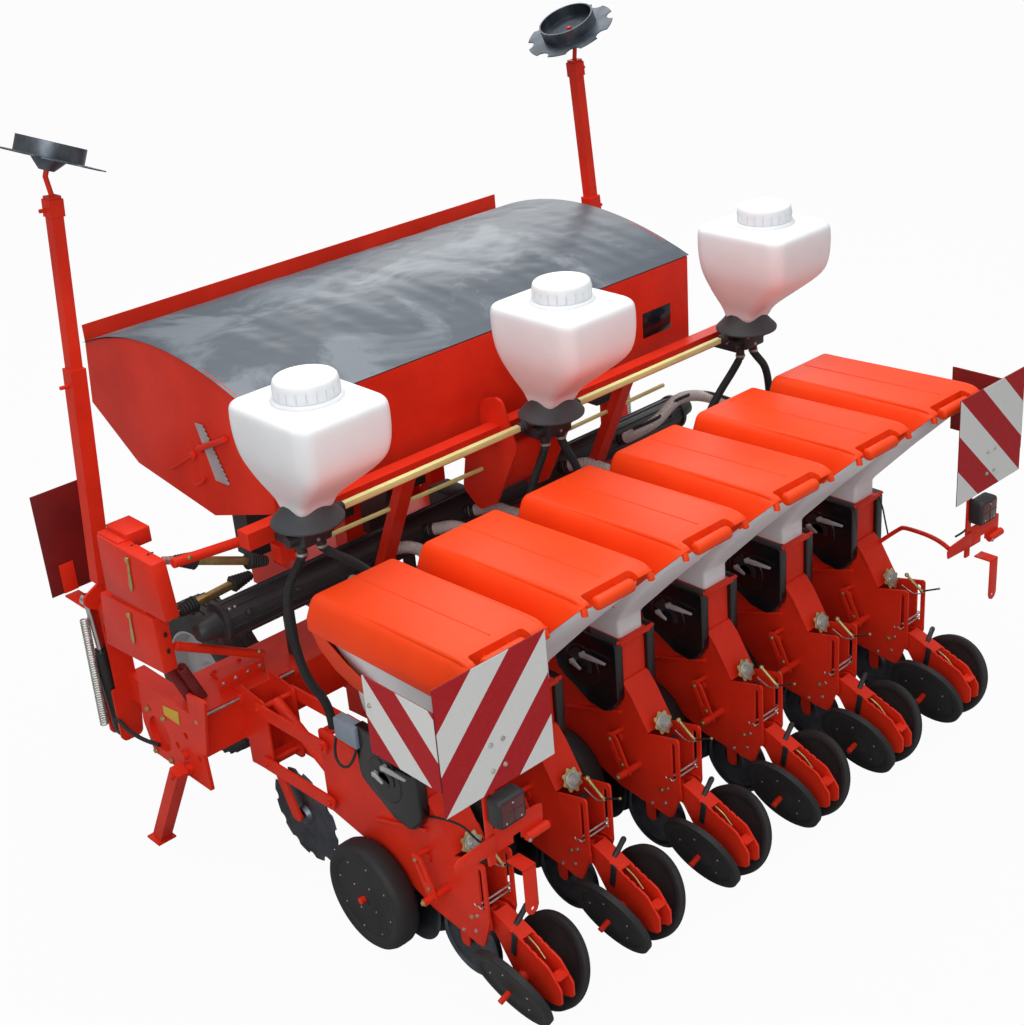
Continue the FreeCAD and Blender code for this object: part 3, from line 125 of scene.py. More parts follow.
def facing(axis):
    """Turn that carries +Z to the given axis."""
    return Z.rotation_difference(Vector(axis).normalized()).to_matrix().to_4x4()


# ------------------------------------------------------------------ shapes
def block(low, high, bevel=2, segments=2):
    """Bar between two corners with all edges rounded."""
    clear()
    low, high = mm(*low), mm(*high)
    bpy.ops.mesh.primitive_cube_add(size=1, location=(low + high) / 2)
    bpy.context.object.scale = [abs(d) for d in high - low]
    bpy.ops.object.transform_apply(location=True, rotation=True, scale=True)
    edit()
    bpy.ops.mesh.bevel(offset=bevel / 1000, segments=segments, affect="EDGES")
    bpy.ops.object.mode_set(mode="OBJECT")
    return bpy.context.object


def lathe(profile, at=(0, ORIGIN_Y, 0), axis=Z, steps=40):
    """Turned piece: a disc drawn out through (offset, radius) pairs along its axis."""
    clear()
    start, radius = profile[0]
    bpy.ops.mesh.primitive_circle_add(vertices=steps, radius=radius / 1000, fill_type="NGON",
                                      location=(0, 0, start / 1000))
    bpy.ops.object.transform_apply(location=True, rotation=True, scale=True)
    edit()
    for offset, wide in profile[1:]:
        bpy.ops.mesh.extrude_region_move(TRANSFORM_OT_translate={"value": (0, 0, (offset - start) / 1000)})
        if wide != radius:
            share = wide / radius
            bpy.ops.transform.resize(value=(share, share, 1), center_override=(0, 0, offset / 1000))
        start, radius = offset, wide
    bpy.ops.mesh.select_all(action="SELECT")
    bpy.ops.mesh.normals_make_consistent(inside=False)
    bpy.ops.object.mode_set(mode="OBJECT")
    piece = bpy.context.object
    piece.data.transform(Matrix.Translation(mm(*at)) @ facing(axis))
    return piece


def plate(corners, low, high, across="x", bevel=1.5, segments=2):
    """Plate cut to an outline, drawn from a disc of as many corners, and thickened across X, Y or Z."""
    clear()
    bpy.ops.mesh.primitive_circle_add(vertices=len(corners), radius=1, fill_type="NGON")
    piece = bpy.context.object
    spots = {"x": lambda u, v: mm(low, u, v),
             "y": lambda u, v: mm(u, low, v),
             "z": lambda u, v: mm(u, v, low)}
    for vertex, corner in zip(piece.data.vertices, corners):
        vertex.co = spots[across](*corner)
    edit()
    way = {"x": X, "y": Y, "z": Z}[across] * (high - low) / 1000
    bpy.ops.mesh.extrude_region_move(TRANSFORM_OT_translate={"value": way})
    bpy.ops.mesh.select_all(action="SELECT")
    bpy.ops.mesh.normals_make_consistent(inside=False)
    bpy.ops.mesh.bevel(offset=bevel / 1000, segments=segments, affect="EDGES")
    bpy.ops.object.mode_set(mode="OBJECT")
    return piece


def tube(spots, radius, steps=10, smooth=True, closed=False):
    """Bent bar or tube along a curve through the spots, as a mesh."""
    clear()
    curve = bpy.data.curves.new("Tube", "CURVE")
    curve.dimensions = "3D"
    curve.bevel_depth = radius / 1000
    curve.bevel_resolution = steps // 4
    curve.use_fill_caps = True
    line = curve.splines.new("NURBS" if smooth else "POLY")
    line.points.add(len(spots) - 1)
    for point, spot in zip(line.points, spots):
        point.co = (*spot, 1)
    line.use_cyclic_u = closed
    if smooth:
        line.order_u = 3
        line.use_endpoint_u = not closed
        line.resolution_u = 8
    holder = bpy.data.objects.new("Tube", curve)
    bpy.context.collection.objects.link(holder)
    bpy.context.view_layer.objects.active = holder
    holder.select_set(True)
    bpy.ops.object.convert(target="MESH")
    return bpy.context.object


def spring(start, end, radius, wire, turns):
    """Coil spring between two places."""
    way = end - start
    turn = facing(way)
    arcs = 12
    spots = []
    for i in range(turns * arcs + 1):
        angle = i * math.tau / arcs
        spots.append(start + turn @ Vector((radius / 1000 * math.cos(angle), radius / 1000 * math.sin(angle),
                                            way.length * i / (turns * arcs))))
    return tube(spots, wire, steps=8)


def gather(pieces):
    """Joins pieces into one."""
    clear()
    for piece in pieces:
        piece.select_set(True)
    bpy.context.view_layer.objects.active = pieces[0]
    if len(pieces) > 1:
        bpy.ops.object.join()
    return bpy.context.object


def is_mirror(place):
    """True for a matrix that turns a mesh inside out."""
    return isinstance(place, Matrix) and place.determinant() < 0


def repeat(piece, places):
    """Copies a piece to each place, a matrix or a shift in millimetres, as one piece; the model goes."""
    copies = []
    for place in places:
        twin = piece.copy()
        twin.data = piece.data.copy()
        twin.data.transform(place if isinstance(place, Matrix) else Matrix.Translation(Vector(place) / 1000))
        if is_mirror(place):
            twin.data.flip_normals()
        bpy.context.collection.objects.link(twin)
        copies.append(twin)
    bpy.data.objects.remove(piece)
    return gather(copies)


def finish(piece, name, look, body="base", smooth=35):
    """Names a piece, gives it its finish and smooth faces, and lets it ride on its body."""
    clear()
    piece.select_set(True)
    bpy.context.view_layer.objects.active = piece
    bpy.ops.object.shade_smooth_by_angle(angle=math.radians(smooth))
    piece.name = piece.data.name = name
    piece.data.materials.clear()
    piece.data.materials.append(LOOKS[look])
    if body:
        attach(piece, body)
    return piece


def bolt(size=8):
    """Hexagon head with washer, along +Z from the surface at the origin."""
    washer = lathe([(0, size * 1.1), (size * 0.18, size * 1.1), (size * 0.18, size * 0.6)], steps=20)
    head = lathe([(0, size * 0.86), (size * 0.7, size * 0.86), (size * 0.82, size * 0.72)], steps=6)
    return gather([washer, head])


def at(place, axis=Z):
    """Matrix that carries a model from the origin, with +Z along the axis, to a place."""
    return Matrix.Translation(place) @ facing(axis)


def moved(piece, matrix):
    """Applies a matrix to a piece's mesh."""
    piece.data.transform(matrix)
    return piece


def bolts(spots, size=8, axis=-Y):
    """Hexagon heads at several places, all along one axis."""
    return gather([moved(bolt(size), at(mm(*spot), axis)) for spot in spots])


def bolt_circle(count, first, radius, size, face):
    """Heads on a circle about X, from the first one's angle in degrees, on a face that looks along X."""
    heads = []
    for i in range(count):
        angle = math.radians(first + 360 / count * i)
        spot = Vector((face / 1000, radius / 1000 * math.cos(angle), radius / 1000 * math.sin(angle)))
        heads.append(moved(bolt(size), at(spot, X)))
    return heads


def discard(*models):
    """Removes models whose copies are placed."""
    for model in models:
        bpy.data.objects.remove(model)


def bar(start, end, radius, steps=16):
    """Round bar with broken edges between two places in millimetres."""
    way = mm(*end) - mm(*start)
    length, edge = way.length * 1000, radius * 0.12
    piece = lathe([(0, radius - edge), (edge, radius), (length - edge, radius), (length, radius - edge)],
                  steps=steps)
    return moved(piece, at(mm(*start), way))


def flat(start, end, wide, thick, bevel=1.5):
    """Rectangular bar between two places; wide lies as near X as the slope allows."""
    way = mm(*end) - mm(*start)
    low, high = (-wide / 2, ORIGIN_Y - thick / 2, 0), (wide / 2, ORIGIN_Y + thick / 2, way.length * 1000)
    piece = block(low, high, bevel)
    up = way.normalized()
    side = (X - up * X.dot(up)).normalized() if abs(up.x) < 0.9 else up.cross(Y).normalized()
    turn = Matrix((side, up.cross(side), up)).transposed().to_4x4()
    return moved(piece, Matrix.Translation(mm(*start)) @ turn)


def wire(spots, radius, steps=8, smooth=True):
    """Bent wire, cable or rod through places in millimetres."""
    return tube([mm(*spot) for spot in spots], radius, steps, smooth)


def ribbed(spots, radius, pitch):
    """Corrugated hose: one rib, repeated and bent along a curve through the spots."""
    clear()
    curve = bpy.data.curves.new("Route", "CURVE")
    curve.dimensions = "3D"
    line = curve.splines.new("NURBS")
    line.points.add(len(spots) - 1)
    for point, spot in zip(line.points, spots):
        point.co = (*mm(*spot), 1)
    line.order_u, line.use_endpoint_u, line.resolution_u = 3, True, 16
    route = bpy.data.objects.new("Route", curve)
    bpy.context.collection.objects.link(route)
    rib = lathe([(0, radius - 3), (pitch * 0.3, radius), (pitch * 0.7, radius), (pitch, radius - 3)], axis=X,
                steps=16)
    edit(lambda face: abs(face.normal.x) > 0.99)
    bpy.ops.mesh.delete(type="FACE")
    bpy.ops.object.mode_set(mode="OBJECT")
    modify("ARRAY", fit_type="FIT_CURVE", curve=route, use_relative_offset=False, use_constant_offset=True,
           constant_offset_displace=(pitch / 1000, 0, 0), use_merge_vertices=True)
    modify("CURVE", object=route, deform_axis="POS_X")
    bpy.data.objects.remove(route)
    return rib


def on_rows(piece):
    """Copies a piece that is made at x = 0 to all six rows, as one piece."""
    return repeat(piece, [(x, 0, 0) for number, x in ROWS])


def copy_of(piece):
    """A copy of a piece that is still needed as the model for others."""
    twin = piece.copy()
    twin.data = piece.data.copy()
    bpy.context.collection.objects.link(twin)
    return twin


def ring_wheel(profile, steps):
    """Wheel about X through the origin: a closed (offset, radius) outline spun round once."""
    clear()
    bpy.ops.mesh.primitive_circle_add(vertices=len(profile), radius=1, fill_type="NOTHING")
    piece = bpy.context.object
    for vertex, (offset, radius) in zip(piece.data.vertices, profile):
        vertex.co = (offset / 1000, 0, radius / 1000)
    edit()
    bpy.ops.mesh.spin(steps=steps, angle=math.tau, center=(0, 0, 0), axis=(1, 0, 0))
    bpy.ops.mesh.select_all(action="SELECT")
    bpy.ops.mesh.remove_doubles(threshold=0.00001)
    bpy.ops.mesh.normals_make_consistent(inside=False)
    bpy.ops.object.mode_set(mode="OBJECT")
    return piece


# ------------------------------------------------------------------ finishes
def linear(code, alpha=1.0):
    """sRGB hex to the renderer's linear colour."""
    parts = [int(code[i:i + 2], 16) / 255 for i in (1, 3, 5)]
    return tuple(p / 12.92 if p <= 0.04045 else ((p + 0.055) / 1.055) ** 2.4 for p in parts) + (alpha,)


def add(tree, kind, values=None, links=None, **settings):
    """Adds one shader node with its settings, socket values and incoming links."""
    node = tree.nodes.new("ShaderNode" + kind)
    for name, value in settings.items():
        setattr(node, name, value)
    for socket, value in (values or {}).items():
        node.inputs[socket].default_value = value
    for socket, source in (links or {}).items():
        tree.links.new(source, node.inputs[socket])
    return node


def surface(name, colour, rough, grain, bump, second=None, mottle=220, soft=2.0, **sockets):
    """A finish with patchy colour, uneven gloss and a fine relief whose grain is in millimetres."""
    look = bpy.data.materials.new(name)
    look.use_nodes = True
    tree = look.node_tree
    shader = tree.nodes["Principled BSDF"]
    place = add(tree, "TexCoord").outputs["Object"]
    patches = add(tree, "TexNoise", {"Scale": 1000 / mottle, "Detail": 3.0, "Roughness": 0.6},
                  {"Vector": place})
    tone = add(tree, "ValToRGB", links={"Fac": patches.outputs["Fac"]})
    tone.color_ramp.elements[0].position = 0.35
    tone.color_ramp.elements[0].color = linear(second or colour)
    tone.color_ramp.elements[1].position = 0.62
    tone.color_ramp.elements[1].color = linear(colour)
    fine = add(tree, "TexNoise", {"Scale": 1000 / grain, "Detail": 2.0}, {"Vector": place})
    gloss = add(tree, "MapRange", {"To Min": rough - 0.06, "To Max": rough + 0.08},
                {"Value": fine.outputs["Fac"]})
    edge = add(tree, "Bevel", {"Radius": soft / 1000}, samples=4)
    relief = add(tree, "Bump", {"Strength": bump, "Distance": 0.001},
                 {"Height": fine.outputs["Fac"], "Normal": edge.outputs["Normal"]})
    tree.links.new(tone.outputs["Color"], shader.inputs["Base Color"])
    tree.links.new(gloss.outputs["Result"], shader.inputs["Roughness"])
    tree.links.new(relief.outputs["Normal"], shader.inputs["Normal"])
    for socket, value in sockets.items():
        shader.inputs[socket.replace("_", " ")].default_value = value
    LOOKS[name] = look
    return tree, shader, place


def stripes(name, way, offset):
    """Retroreflective sheet: slanting red and white bands over a fine honeycomb of cells."""
    tree, shader, place = surface(name, "#E9E7E4", 0.5, 2.5, 0.1, "#DAD8D5", Specular_IOR_Level=0.15)
    along = add(tree, "VectorMath", {1: way}, {0: place}, operation="DOT_PRODUCT")
    run = add(tree, "Math", {1: offset}, {0: along.outputs["Value"]}, operation="ADD")
    band = add(tree, "Math", {1: BAND * 2}, {0: run.outputs[0]}, operation="FLOORED_MODULO")
    red = add(tree, "Math", {1: BAND}, {0: band.outputs[0]}, operation="LESS_THAN")
    cells = add(tree, "TexVoronoi", {"Scale": 1000 / 4}, {"Vector": place}, feature="DISTANCE_TO_EDGE")
    net = add(tree, "Math", {1: 0.06}, {0: cells.outputs["Distance"]}, operation="LESS_THAN")
    faint = add(tree, "Math", {1: 0.14}, {0: net.outputs[0]}, operation="MULTIPLY")
    tint = add(tree, "MixRGB", {"Color1": linear("#DFE0DE"), "Color2": linear("#B00A18")},
               {"Fac": red.outputs[0]})
    shade = add(tree, "MixRGB", {"Color2": linear("#8A8784")},
                {"Fac": faint.outputs[0], "Color1": tint.outputs["Color"]})
    tree.links.new(shade.outputs["Color"], shader.inputs["Base Color"])


def make_finishes():
    """Every finish of the machine; the colours of paint, lids, tanks and cover come from the panel's
    settings.
    """
    look = bpy.context.scene.planter_looks
    # powder coat on sheet and tube: even orange-red, slight orange peel a few millimetres across
    surface("powder_coat", look.paint, 0.40, 5, 0.10, look.paint_shade, Specular_IOR_Level=0.2)
    # chassis enamel, brushed on: satin black; also the painted shade on the dark plates that stand for the
    # gear cases' slots
    surface("black_enamel_and_slot_shade", "#1B1C1E", 0.42, 4, 0.15, "#141516")
    # rotomoulded polyethylene, milky and faintly waxy
    surface("polyethylene", look.tank, 0.42, 7, 0.12, "#ECEEF1", mottle=320, soft=4, IOR=1.51,
            Subsurface_Weight=0.25, Subsurface_Radius=(0.012, 0.011, 0.010), Subsurface_Scale=1.0)
    # vacuum-formed ABS, glossy orange-red with a pinhead grain
    surface("moulded_abs", look.lid, 0.40, 2.5, 0.16, look.lid_shade, mottle=400, IOR=1.53,
            Specular_IOR_Level=0.2)
    # glass-filled nylon housings, dry black
    surface("black_nylon", "#2B2D30", 0.46, 3, 0.25, "#222426", IOR=1.53)
    # powder-coated junction box, even blue-grey, and the granule shafts' pale yellow coat
    surface("grey_box", "#8A97A5", 0.45, 4, 0.1, "#7C8997")
    surface("pale_coat", "#E3DF9A", 0.45, 4, 0.1, "#D5CF88")
    # thick moulded nylon of the skirts, weathered grey and dull
    surface("grey_nylon", "#43464A", 0.55, 3, 0.2, "#383B3E", IOR=1.53)
    # polished nylon covers of the seed meters
    surface("gloss_nylon", "#17181A", 0.22, 14, 0.05, "#101113", IOR=1.53)
    # tyre rubber, greyer and drier than the wheels' bands
    surface("tyre_rubber", "#3A3A3B", 0.7, 5, 0.3, "#2C2C2E", mottle=90, IOR=1.52)
    # vulcanised rubber of wheels and boots, slightly greyed
    surface("rubber", "#232325", 0.62, 4, 0.3, "#1B1B1D", mottle=120, IOR=1.52)
    # flexible PVC hose, pale grey and matt
    surface("grey_pvc", "#D6D6D3", 0.5, 3, 0.2, "#BEBEBB", IOR=1.54)
    # yellow-passivated zinc plating, patchy gold to green
    surface("yellow_zinc", "#D2C487", 0.38, 3, 0.2, "#B3A468", mottle=60, Metallic=0.9)
    # bright zinc plating of bolts and washers
    surface("bright_zinc", "#D2D1CC", 0.32, 2, 0.2, "#AFADA6", mottle=30, Metallic=0.85)
    # ground and chromed piston rod
    surface("hard_chrome", "#D5D6D8", 0.12, 2, 0.03, "#C9CACC", Metallic=1.0)
    # hardened boron steel of the discs, dull blue-grey with rolling marks
    surface("boron_steel", "#70777F", 0.38, 3, 0.25, "#565C64", mottle=90, Metallic=1.0)
    # smoked acrylic of the hopper's window, and the lamps' deep red lens: smooth and clear-edged
    surface("smoked_acrylic", "#1A1F2B", 0.12, 30, 0.02, "#10131A", IOR=1.49)
    surface("lamp_lens", "#5A0F12", 0.15, 6, 0.3, "#430B0D", IOR=1.49, Coat_Weight=0.4)
    # vinyl label, left blank: flat yellow with a slight sheen
    surface("yellow_vinyl", "#D9B021", 0.42, 4, 0.04, "#C99F1C")
    # primed backs of the boards and painted springs: flat dark red
    surface("dark_red_plate", "#7E1512", 0.48, 4, 0.1, "#6B100E")
    # silver-lacquered sheet of rims, latches and quadrant: pale grey, half metallic
    surface("silver_plate", "#C6C7C9", 0.42, 2, 0.1, "#ACAEB1", Metallic=0.3)
    # bands of the boards; the offset carries a band's edge to where the board's pattern starts
    stripes("rear_stripes_left", (1, 0, -1), 2.884)
    stripes("rear_stripes_right", (-1, 0, -1), 2.884)
    stripes("side_stripes", (0, -1, 1), 0.197)
    make_tarpaulin(look.cover)


def make_tarpaulin(colour):
    """PVC-coated polyester: glossy dark blue-grey, with paler patches at random that are partly dust and
    partly painted highlight where creases catch the light.

    Its weave is drawn about 4 mm apart, coarser than the real millimetre, so that it shows.
    """
    tree, shader, place = surface("tarpaulin", colour, 0.34, 1.6, 0.05, "#3D4650", mottle=900, soft=1)
    # paler patches painted at random: partly dust, partly painted highlight for the sheen on the creases
    dust_and_sheen = add(tree, "TexNoise", {"Scale": 2.4, "Detail": 5.0, "Roughness": 0.62, "Distortion": 0.6},
                {"Vector": place})
    patch = add(tree, "ValToRGB", links={"Fac": dust_and_sheen.outputs["Fac"]})
    patch.color_ramp.elements[0].position, patch.color_ramp.elements[1].position = 0.50, 0.60
    patch.color_ramp.elements[0].color, patch.color_ramp.elements[1].color = (0, 0, 0, 1), (1, 1, 1, 1)
    veil = add(tree, "Math", {1: 0.45}, {0: patch.outputs["Color"]}, operation="MULTIPLY")
    tone = shader.inputs["Base Color"].links[0].from_socket
    pale = add(tree, "MixRGB", {"Color2": linear("#8C949C")}, {"Fac": veil.outputs[0], "Color1": tone})
    tree.links.new(pale.outputs["Color"], shader.inputs["Base Color"])
    threads = add(tree, "TexWave", {"Scale": 80.0, "Distortion": 0.0}, {"Vector": place}, bands_direction="Y")
    relief = shader.inputs["Normal"].links[0].from_node
    weave = add(tree, "Bump", {"Strength": 0.05, "Distance": 0.0005},
                {"Height": threads.outputs["Fac"], "Normal": relief.outputs["Normal"]})
    tree.links.new(weave.outputs["Normal"], shader.inputs["Normal"])


# ------------------------------------------------------------------ settings
class PlanterLooks(bpy.types.PropertyGroup):
    """Colours that the finishes start from, as sRGB hex."""
    paint: bpy.props.StringProperty(name="Paint", default="#E8341D",
                                    description="Powder coat of frame and sheet metal")
    paint_shade: bpy.props.StringProperty(name="Paint, deeper", default="#DA2D18",
                                          description="Deeper patches of the paint")
    lid: bpy.props.StringProperty(name="Lid", default="#F54712",
                                  description="Moulded lids of the seed hoppers")
    lid_shade: bpy.props.StringProperty(name="Lid, deeper", default="#F0410F",
                                        description="Deeper patches of the lids")
    tank: bpy.props.StringProperty(name="Tank", default="#F3F5F8",
                                   description="Rotomoulded tanks and hoppers")
    cover: bpy.props.StringProperty(name="Cover", default="#4A545F",
                                    description="Tarpaulin over the trough")


class PlanterSizes(bpy.types.PropertyGroup):
    """Sizes of the moulded and soft pieces."""
    lid_edge: bpy.props.FloatProperty(name="Lid edge", default=27, min=5, max=45,
                                      description="Radius of the lid's moulded edges in millimetres")
    crease: bpy.props.FloatProperty(name="Cover crease", default=7, min=0, max=12,
                                    description="Height of the cover's creases in millimetres")
    hose: bpy.props.FloatProperty(name="Hose rib pitch", default=9, min=4, max=20,
                                  description="Spacing of the hoses' ribs in millimetres")


# ------------------------------------------------------------------ stage
# name, place, width in metres and power in watts
LAMPS = (("sky", (0.5, 0.5, 7.5), 7.0, 330), ("side", (-5.5, -4.5, 4.0), 4.0, 140),
         ("back", (5.0, 5.0, 4.5), 4.0, 90))
LAMP_TARGET = Vector((0, 0, 0.8))
CAMERA_PLACE = (-3.6893, -4.2524, 3.7086)
CAMERA_TURN = (64.119, 4.448, -43.069)
SENSOR_WIDTH, FOCAL_LENGTH = 36, 56.81


class PLANTER_OT_stage(bpy.types.Operator):
    """Floor, backdrop, lamps and camera"""
    bl_idname = "planter.stage"
    bl_label = "Stage"

    def execute(self, context):
        self.floor()
        self.world(context.scene)
        for name, place, size, power in LAMPS:
            lamp = bpy.data.lights.new(name, "AREA")
            lamp.size, lamp.energy = size, power
            holder = bpy.data.objects.new(name, lamp)
            holder.location = place
            holder.rotation_euler = (LAMP_TARGET - holder.location).to_track_quat("-Z", "Y").to_euler()
            context.collection.objects.link(holder)
        lens = bpy.data.cameras.new("camera")
        lens.sensor_width, lens.lens = SENSOR_WIDTH, FOCAL_LENGTH
        camera = bpy.data.objects.new("camera", lens)
        camera.location = CAMERA_PLACE
        camera.rotation_euler = [math.radians(angle) for angle in CAMERA_TURN]
        context.collection.objects.link(camera)
        context.scene.camera = camera
        context.scene.view_settings.view_transform = "Standard"
        return {"FINISHED"}

    def floor(self):
        """Grey floor that the camera sees as nearly white, with the object's shadow."""
        clear()
        bpy.ops.mesh.primitive_plane_add(size=60)
        floor = bpy.context.object
        floor.name = "floor"
        look = bpy.data.materials.new("pale_floor")
        look.use_nodes = True
        tree = look.node_tree
        shader = tree.nodes["Principled BSDF"]
        shader.inputs["Base Color"].default_value = linear("#A9A9A9")
        shader.inputs["Roughness"].default_value = 0.9
        rays = add(tree, "LightPath")
        glow = add(tree, "Emission", {"Color": (1, 1, 1, 1), "Strength": 1.0})
        share = add(tree, "Math", {1: 0.96}, {0: rays.outputs["Is Camera Ray"]}, operation="MULTIPLY")
        mixed = add(tree, "MixShader", links={0: share.outputs[0], 1: shader.outputs[0], 2: glow.outputs[0]})
        tree.links.new(mixed.outputs[0], tree.nodes["Material Output"].inputs["Surface"])
        floor.data.materials.append(look)

    def world(self, scene):
        """Plain light that is brighter from above, and a white backdrop for the camera alone."""
        world = bpy.data.worlds.new("studio")
        scene.world = world
        world.use_nodes = True
        tree = world.node_tree
        rays = add(tree, "LightPath")
        way = add(tree, "SeparateXYZ", links={0: add(tree, "TexCoord").outputs["Generated"]})
        height = add(tree, "MapRange", {"From Min": 0.0, "From Max": 0.9, "To Min": 0.22, "To Max": 0.95},
                     {"Value": way.outputs["Z"]})
        fill = add(tree, "MixRGB", {"Color2": (1.11, 1.11, 1.11, 1)},
                   {"Fac": rays.outputs["Is Camera Ray"], "Color1": height.outputs["Result"]})
        back = tree.nodes["Background"]
        tree.links.new(fill.outputs["Color"], back.inputs["Color"])
        back.inputs["Strength"].default_value = 0.9


# ------------------------------------------------------------------ finishes of the CAD nodes
NODE_LOOKS = {
    "main_frame": "powder_coat", "hopper": "powder_coat", "dosers_and_fan": "black_nylon",
    "air_manifold": "black_nylon", "granule_meters": "black_nylon", "granule_beam": "powder_coat",
    "gear_cases": "powder_coat", "row_frames": "powder_coat", "row_linkages": "powder_coat",
    "closing_arms": "powder_coat", "opener_discs": "boron_steel", "drive_shafts": "yellow_zinc",
    "hoses": "rubber", "metering_units": "black_nylon", "warning_boards": "powder_coat",
    "gauge_wheels": "rubber", "press_wheel": "rubber", "coulter_disc": "boron_steel",
    "carrier_wheel": "rubber", "parking_stand": "powder_coat", "marker_arm": "powder_coat",
    "marker_disc": "boron_steel", "marker_barrel": "black_enamel_and_slot_shade", "marker_rod": "hard_chrome",
    "lid": "moulded_abs", "seed_hoppers": "polyethylene", "granule_tanks": "polyethylene",
    "hopper_cover": "tarpaulin",
}


class PLANTER_OT_finishes(bpy.types.Operator):
    """Finishes, and their places on the CAD nodes"""
    bl_idname = "planter.finishes"
    bl_label = "Finishes"

    def execute(self, context):
        make_finishes()
        for name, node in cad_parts.items():
            kind = max((key for key in NODE_LOOKS if name.startswith(key)), key=len)
            node.data.materials.clear()
            node.data.materials.append(LOOKS[NODE_LOOKS[kind]])
        return {"FINISHED"}


# ------------------------------------------------------------------ moulded pieces
def drawn(sections, corner=0.3, steps=6):
    """Solid body drawn up through rounded rectangles: (z, half width, rear, front) in millimetres."""
    clear()
    z, half, rear, front = sections[0]
    bpy.ops.mesh.primitive_plane_add(size=2)
    bpy.context.object.scale = (half / 1000, (front - rear) / 2000, 1)
    bpy.ops.object.transform_apply(location=True, rotation=True, scale=True)
    edit(kind="VERT")
    bpy.ops.mesh.bevel(offset=corner * min(half, (front - rear) / 2) / 1000, segments=steps,
                       affect="VERTICES")
    bpy.ops.transform.translate(value=mm(0, (rear + front) / 2, z))
    bpy.ops.mesh.select_all(action="SELECT")
    for high, wide, back, ahead in sections[1:]:
        bpy.ops.mesh.extrude_region_move(TRANSFORM_OT_translate={
            "value": (0, ((back + ahead) - (rear + front)) / 2000, (high - z) / 1000)})
        centre = mm(0, (back + ahead) / 2, high)
        bpy.ops.transform.resize(value=(wide / half, (ahead - back) / (front - rear), 1),
                                 center_override=centre)
        z, half, rear, front = high, wide, back, ahead
    bpy.ops.mesh.select_all(action="SELECT")
    bpy.ops.mesh.normals_make_consistent(inside=False)
    bpy.ops.object.mode_set(mode="OBJECT")
    return bpy.context.object


def slice_off(place, normal):
    """Cuts the active piece with a plane and clears the side that the normal points to."""
    edit()
    bpy.ops.mesh.bisect(plane_co=place, plane_no=normal, clear_outer=True)
    bpy.ops.object.mode_set(mode="OBJECT")


def carve(piece, cutter):
    """Boolean difference; the cutter goes."""
    clear()
    piece.select_set(True)
    bpy.context.view_layer.objects.active = piece
    modify("BOOLEAN", object=cutter, operation="DIFFERENCE", solver="EXACT")
    bpy.data.objects.remove(cutter)
    return piece


class PLANTER_OT_lids(bpy.types.Operator):
    """Vacuum-formed lids of the seed hoppers"""
    bl_idname = "planter.lids"
    bl_label = "Seed hopper lids"

    def execute(self, context):
        sizes = context.scene.planter_sizes
        outline = [(12, 1180), (752, 1180), (752, 1360), (90, 1385), (12, 1372)]
        lid = plate(outline, -200, 200, "x", bevel=sizes.lid_edge, segments=7)
        edit()
        bpy.ops.mesh.bisect(plane_co=mm(0, 0, LID_RIM * 1000), plane_no=Z)
        bpy.ops.object.mode_set(mode="OBJECT")
        for vertex in lid.data.vertices:
            # draft of the sides, from full width at the rim to the narrower top
            vertex.co.x *= 1 - LID_DRAFT * max(0, vertex.co.z - LID_RIM) / LID_RISE
        notch = block((-124, -60, 1332), (89, 62, 1440), bevel=13, segments=4)
        carve(lid, notch)
        slice_off(mm(0, 400, 1252), -Z)
        slice_off(mm(0, 145, 1240), Vector((0, -82, -133)))
        modify("SOLIDIFY", thickness=0.0035, offset=-1)
        roll = lathe([(-97, 8), (-96, 15), (-92, 20), (-87, 22), (57, 22), (62, 20), (66, 15), (67, 8)],
                     (0, 26, 1352), X, 28)
        ribs = [block((x - 4, 26, 1336), (x + 4, 66, 1358), bevel=2) for x in (-60, 32)]
        seam = wire([(-3, 716, 1361), (-3, 400, 1373.2), (-3, 96, 1384.4)], 2.6, smooth=False)
        edge = [(145, 728, 1349), (145, 400, 1363), (145, 100, 1375), (144, 50, 1373), (143, 24, 1357),
                (146, 20, 1335)]
        rims = [wire([(side * x, y, z) for x, y, z in edge], 11, 12) for side in (-1, 1)]
        lid = gather([lid, roll, seam] + ribs + rims)
        mesh = lid.data.copy()
        bpy.data.objects.remove(lid)
        for number, x in ROWS:
            twin = bpy.data.objects.new("lid", mesh.copy())
            twin.data.transform(Matrix.Translation((x / 1000, 0, 0)))
            context.collection.objects.link(twin)
            finish(twin, f"lid_shell_{number}", "moulded_abs", f"lid_{number}", 40)
            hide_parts(f"lid_{number}")
        return {"FINISHED"}


class PLANTER_OT_seed_hoppers(bpy.types.Operator):
    """Milky seed hoppers in their orange moulded cowls"""
    bl_idname = "planter.seed_hoppers"
    bl_label = "Seed hoppers"

    def execute(self, context):
        sections = [(863, 60, 421, 574), (925, 60, 421, 574), (940, 66, 412, 580), (1100, 122, 268, 648),
                    (1262, 180, 112, 712), (1290, 183, 96, 721), (1312, 177, 92, 717), (1348, 160, 100, 712)]
        hopper = drawn(sections, 0.22)
        slice_off(mm(0, 0, 1345), Z)
        modify("SOLIDIFY", thickness=0.004, offset=-1)
        hoppers = finish(on_rows(hopper), "seed_hopper_shells", "polyethylene")
        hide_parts("seed_hoppers")
        cowl = drawn([(1000, 92, 330, 612), (1040, 120, 290, 668), (1100, 150, 240, 712),
                      (1180, 180, 160, 744), (1251, 197, 112, 753)], 0.2)
        slice_off(mm(0, 650, 1245), Vector((0, -0.68, 0.73)))
        slice_off(mm(0, 0, 1250), Z)
        slice_off(mm(0, 0, 1010), -Z)
        slice_off(mm(0, 380, 0), -Y)
        modify("SOLIDIFY", thickness=0.003, offset=-1)
        finish(on_rows(cowl), "seed_hopper_cowls", "moulded_abs")
        return {"FINISHED"}


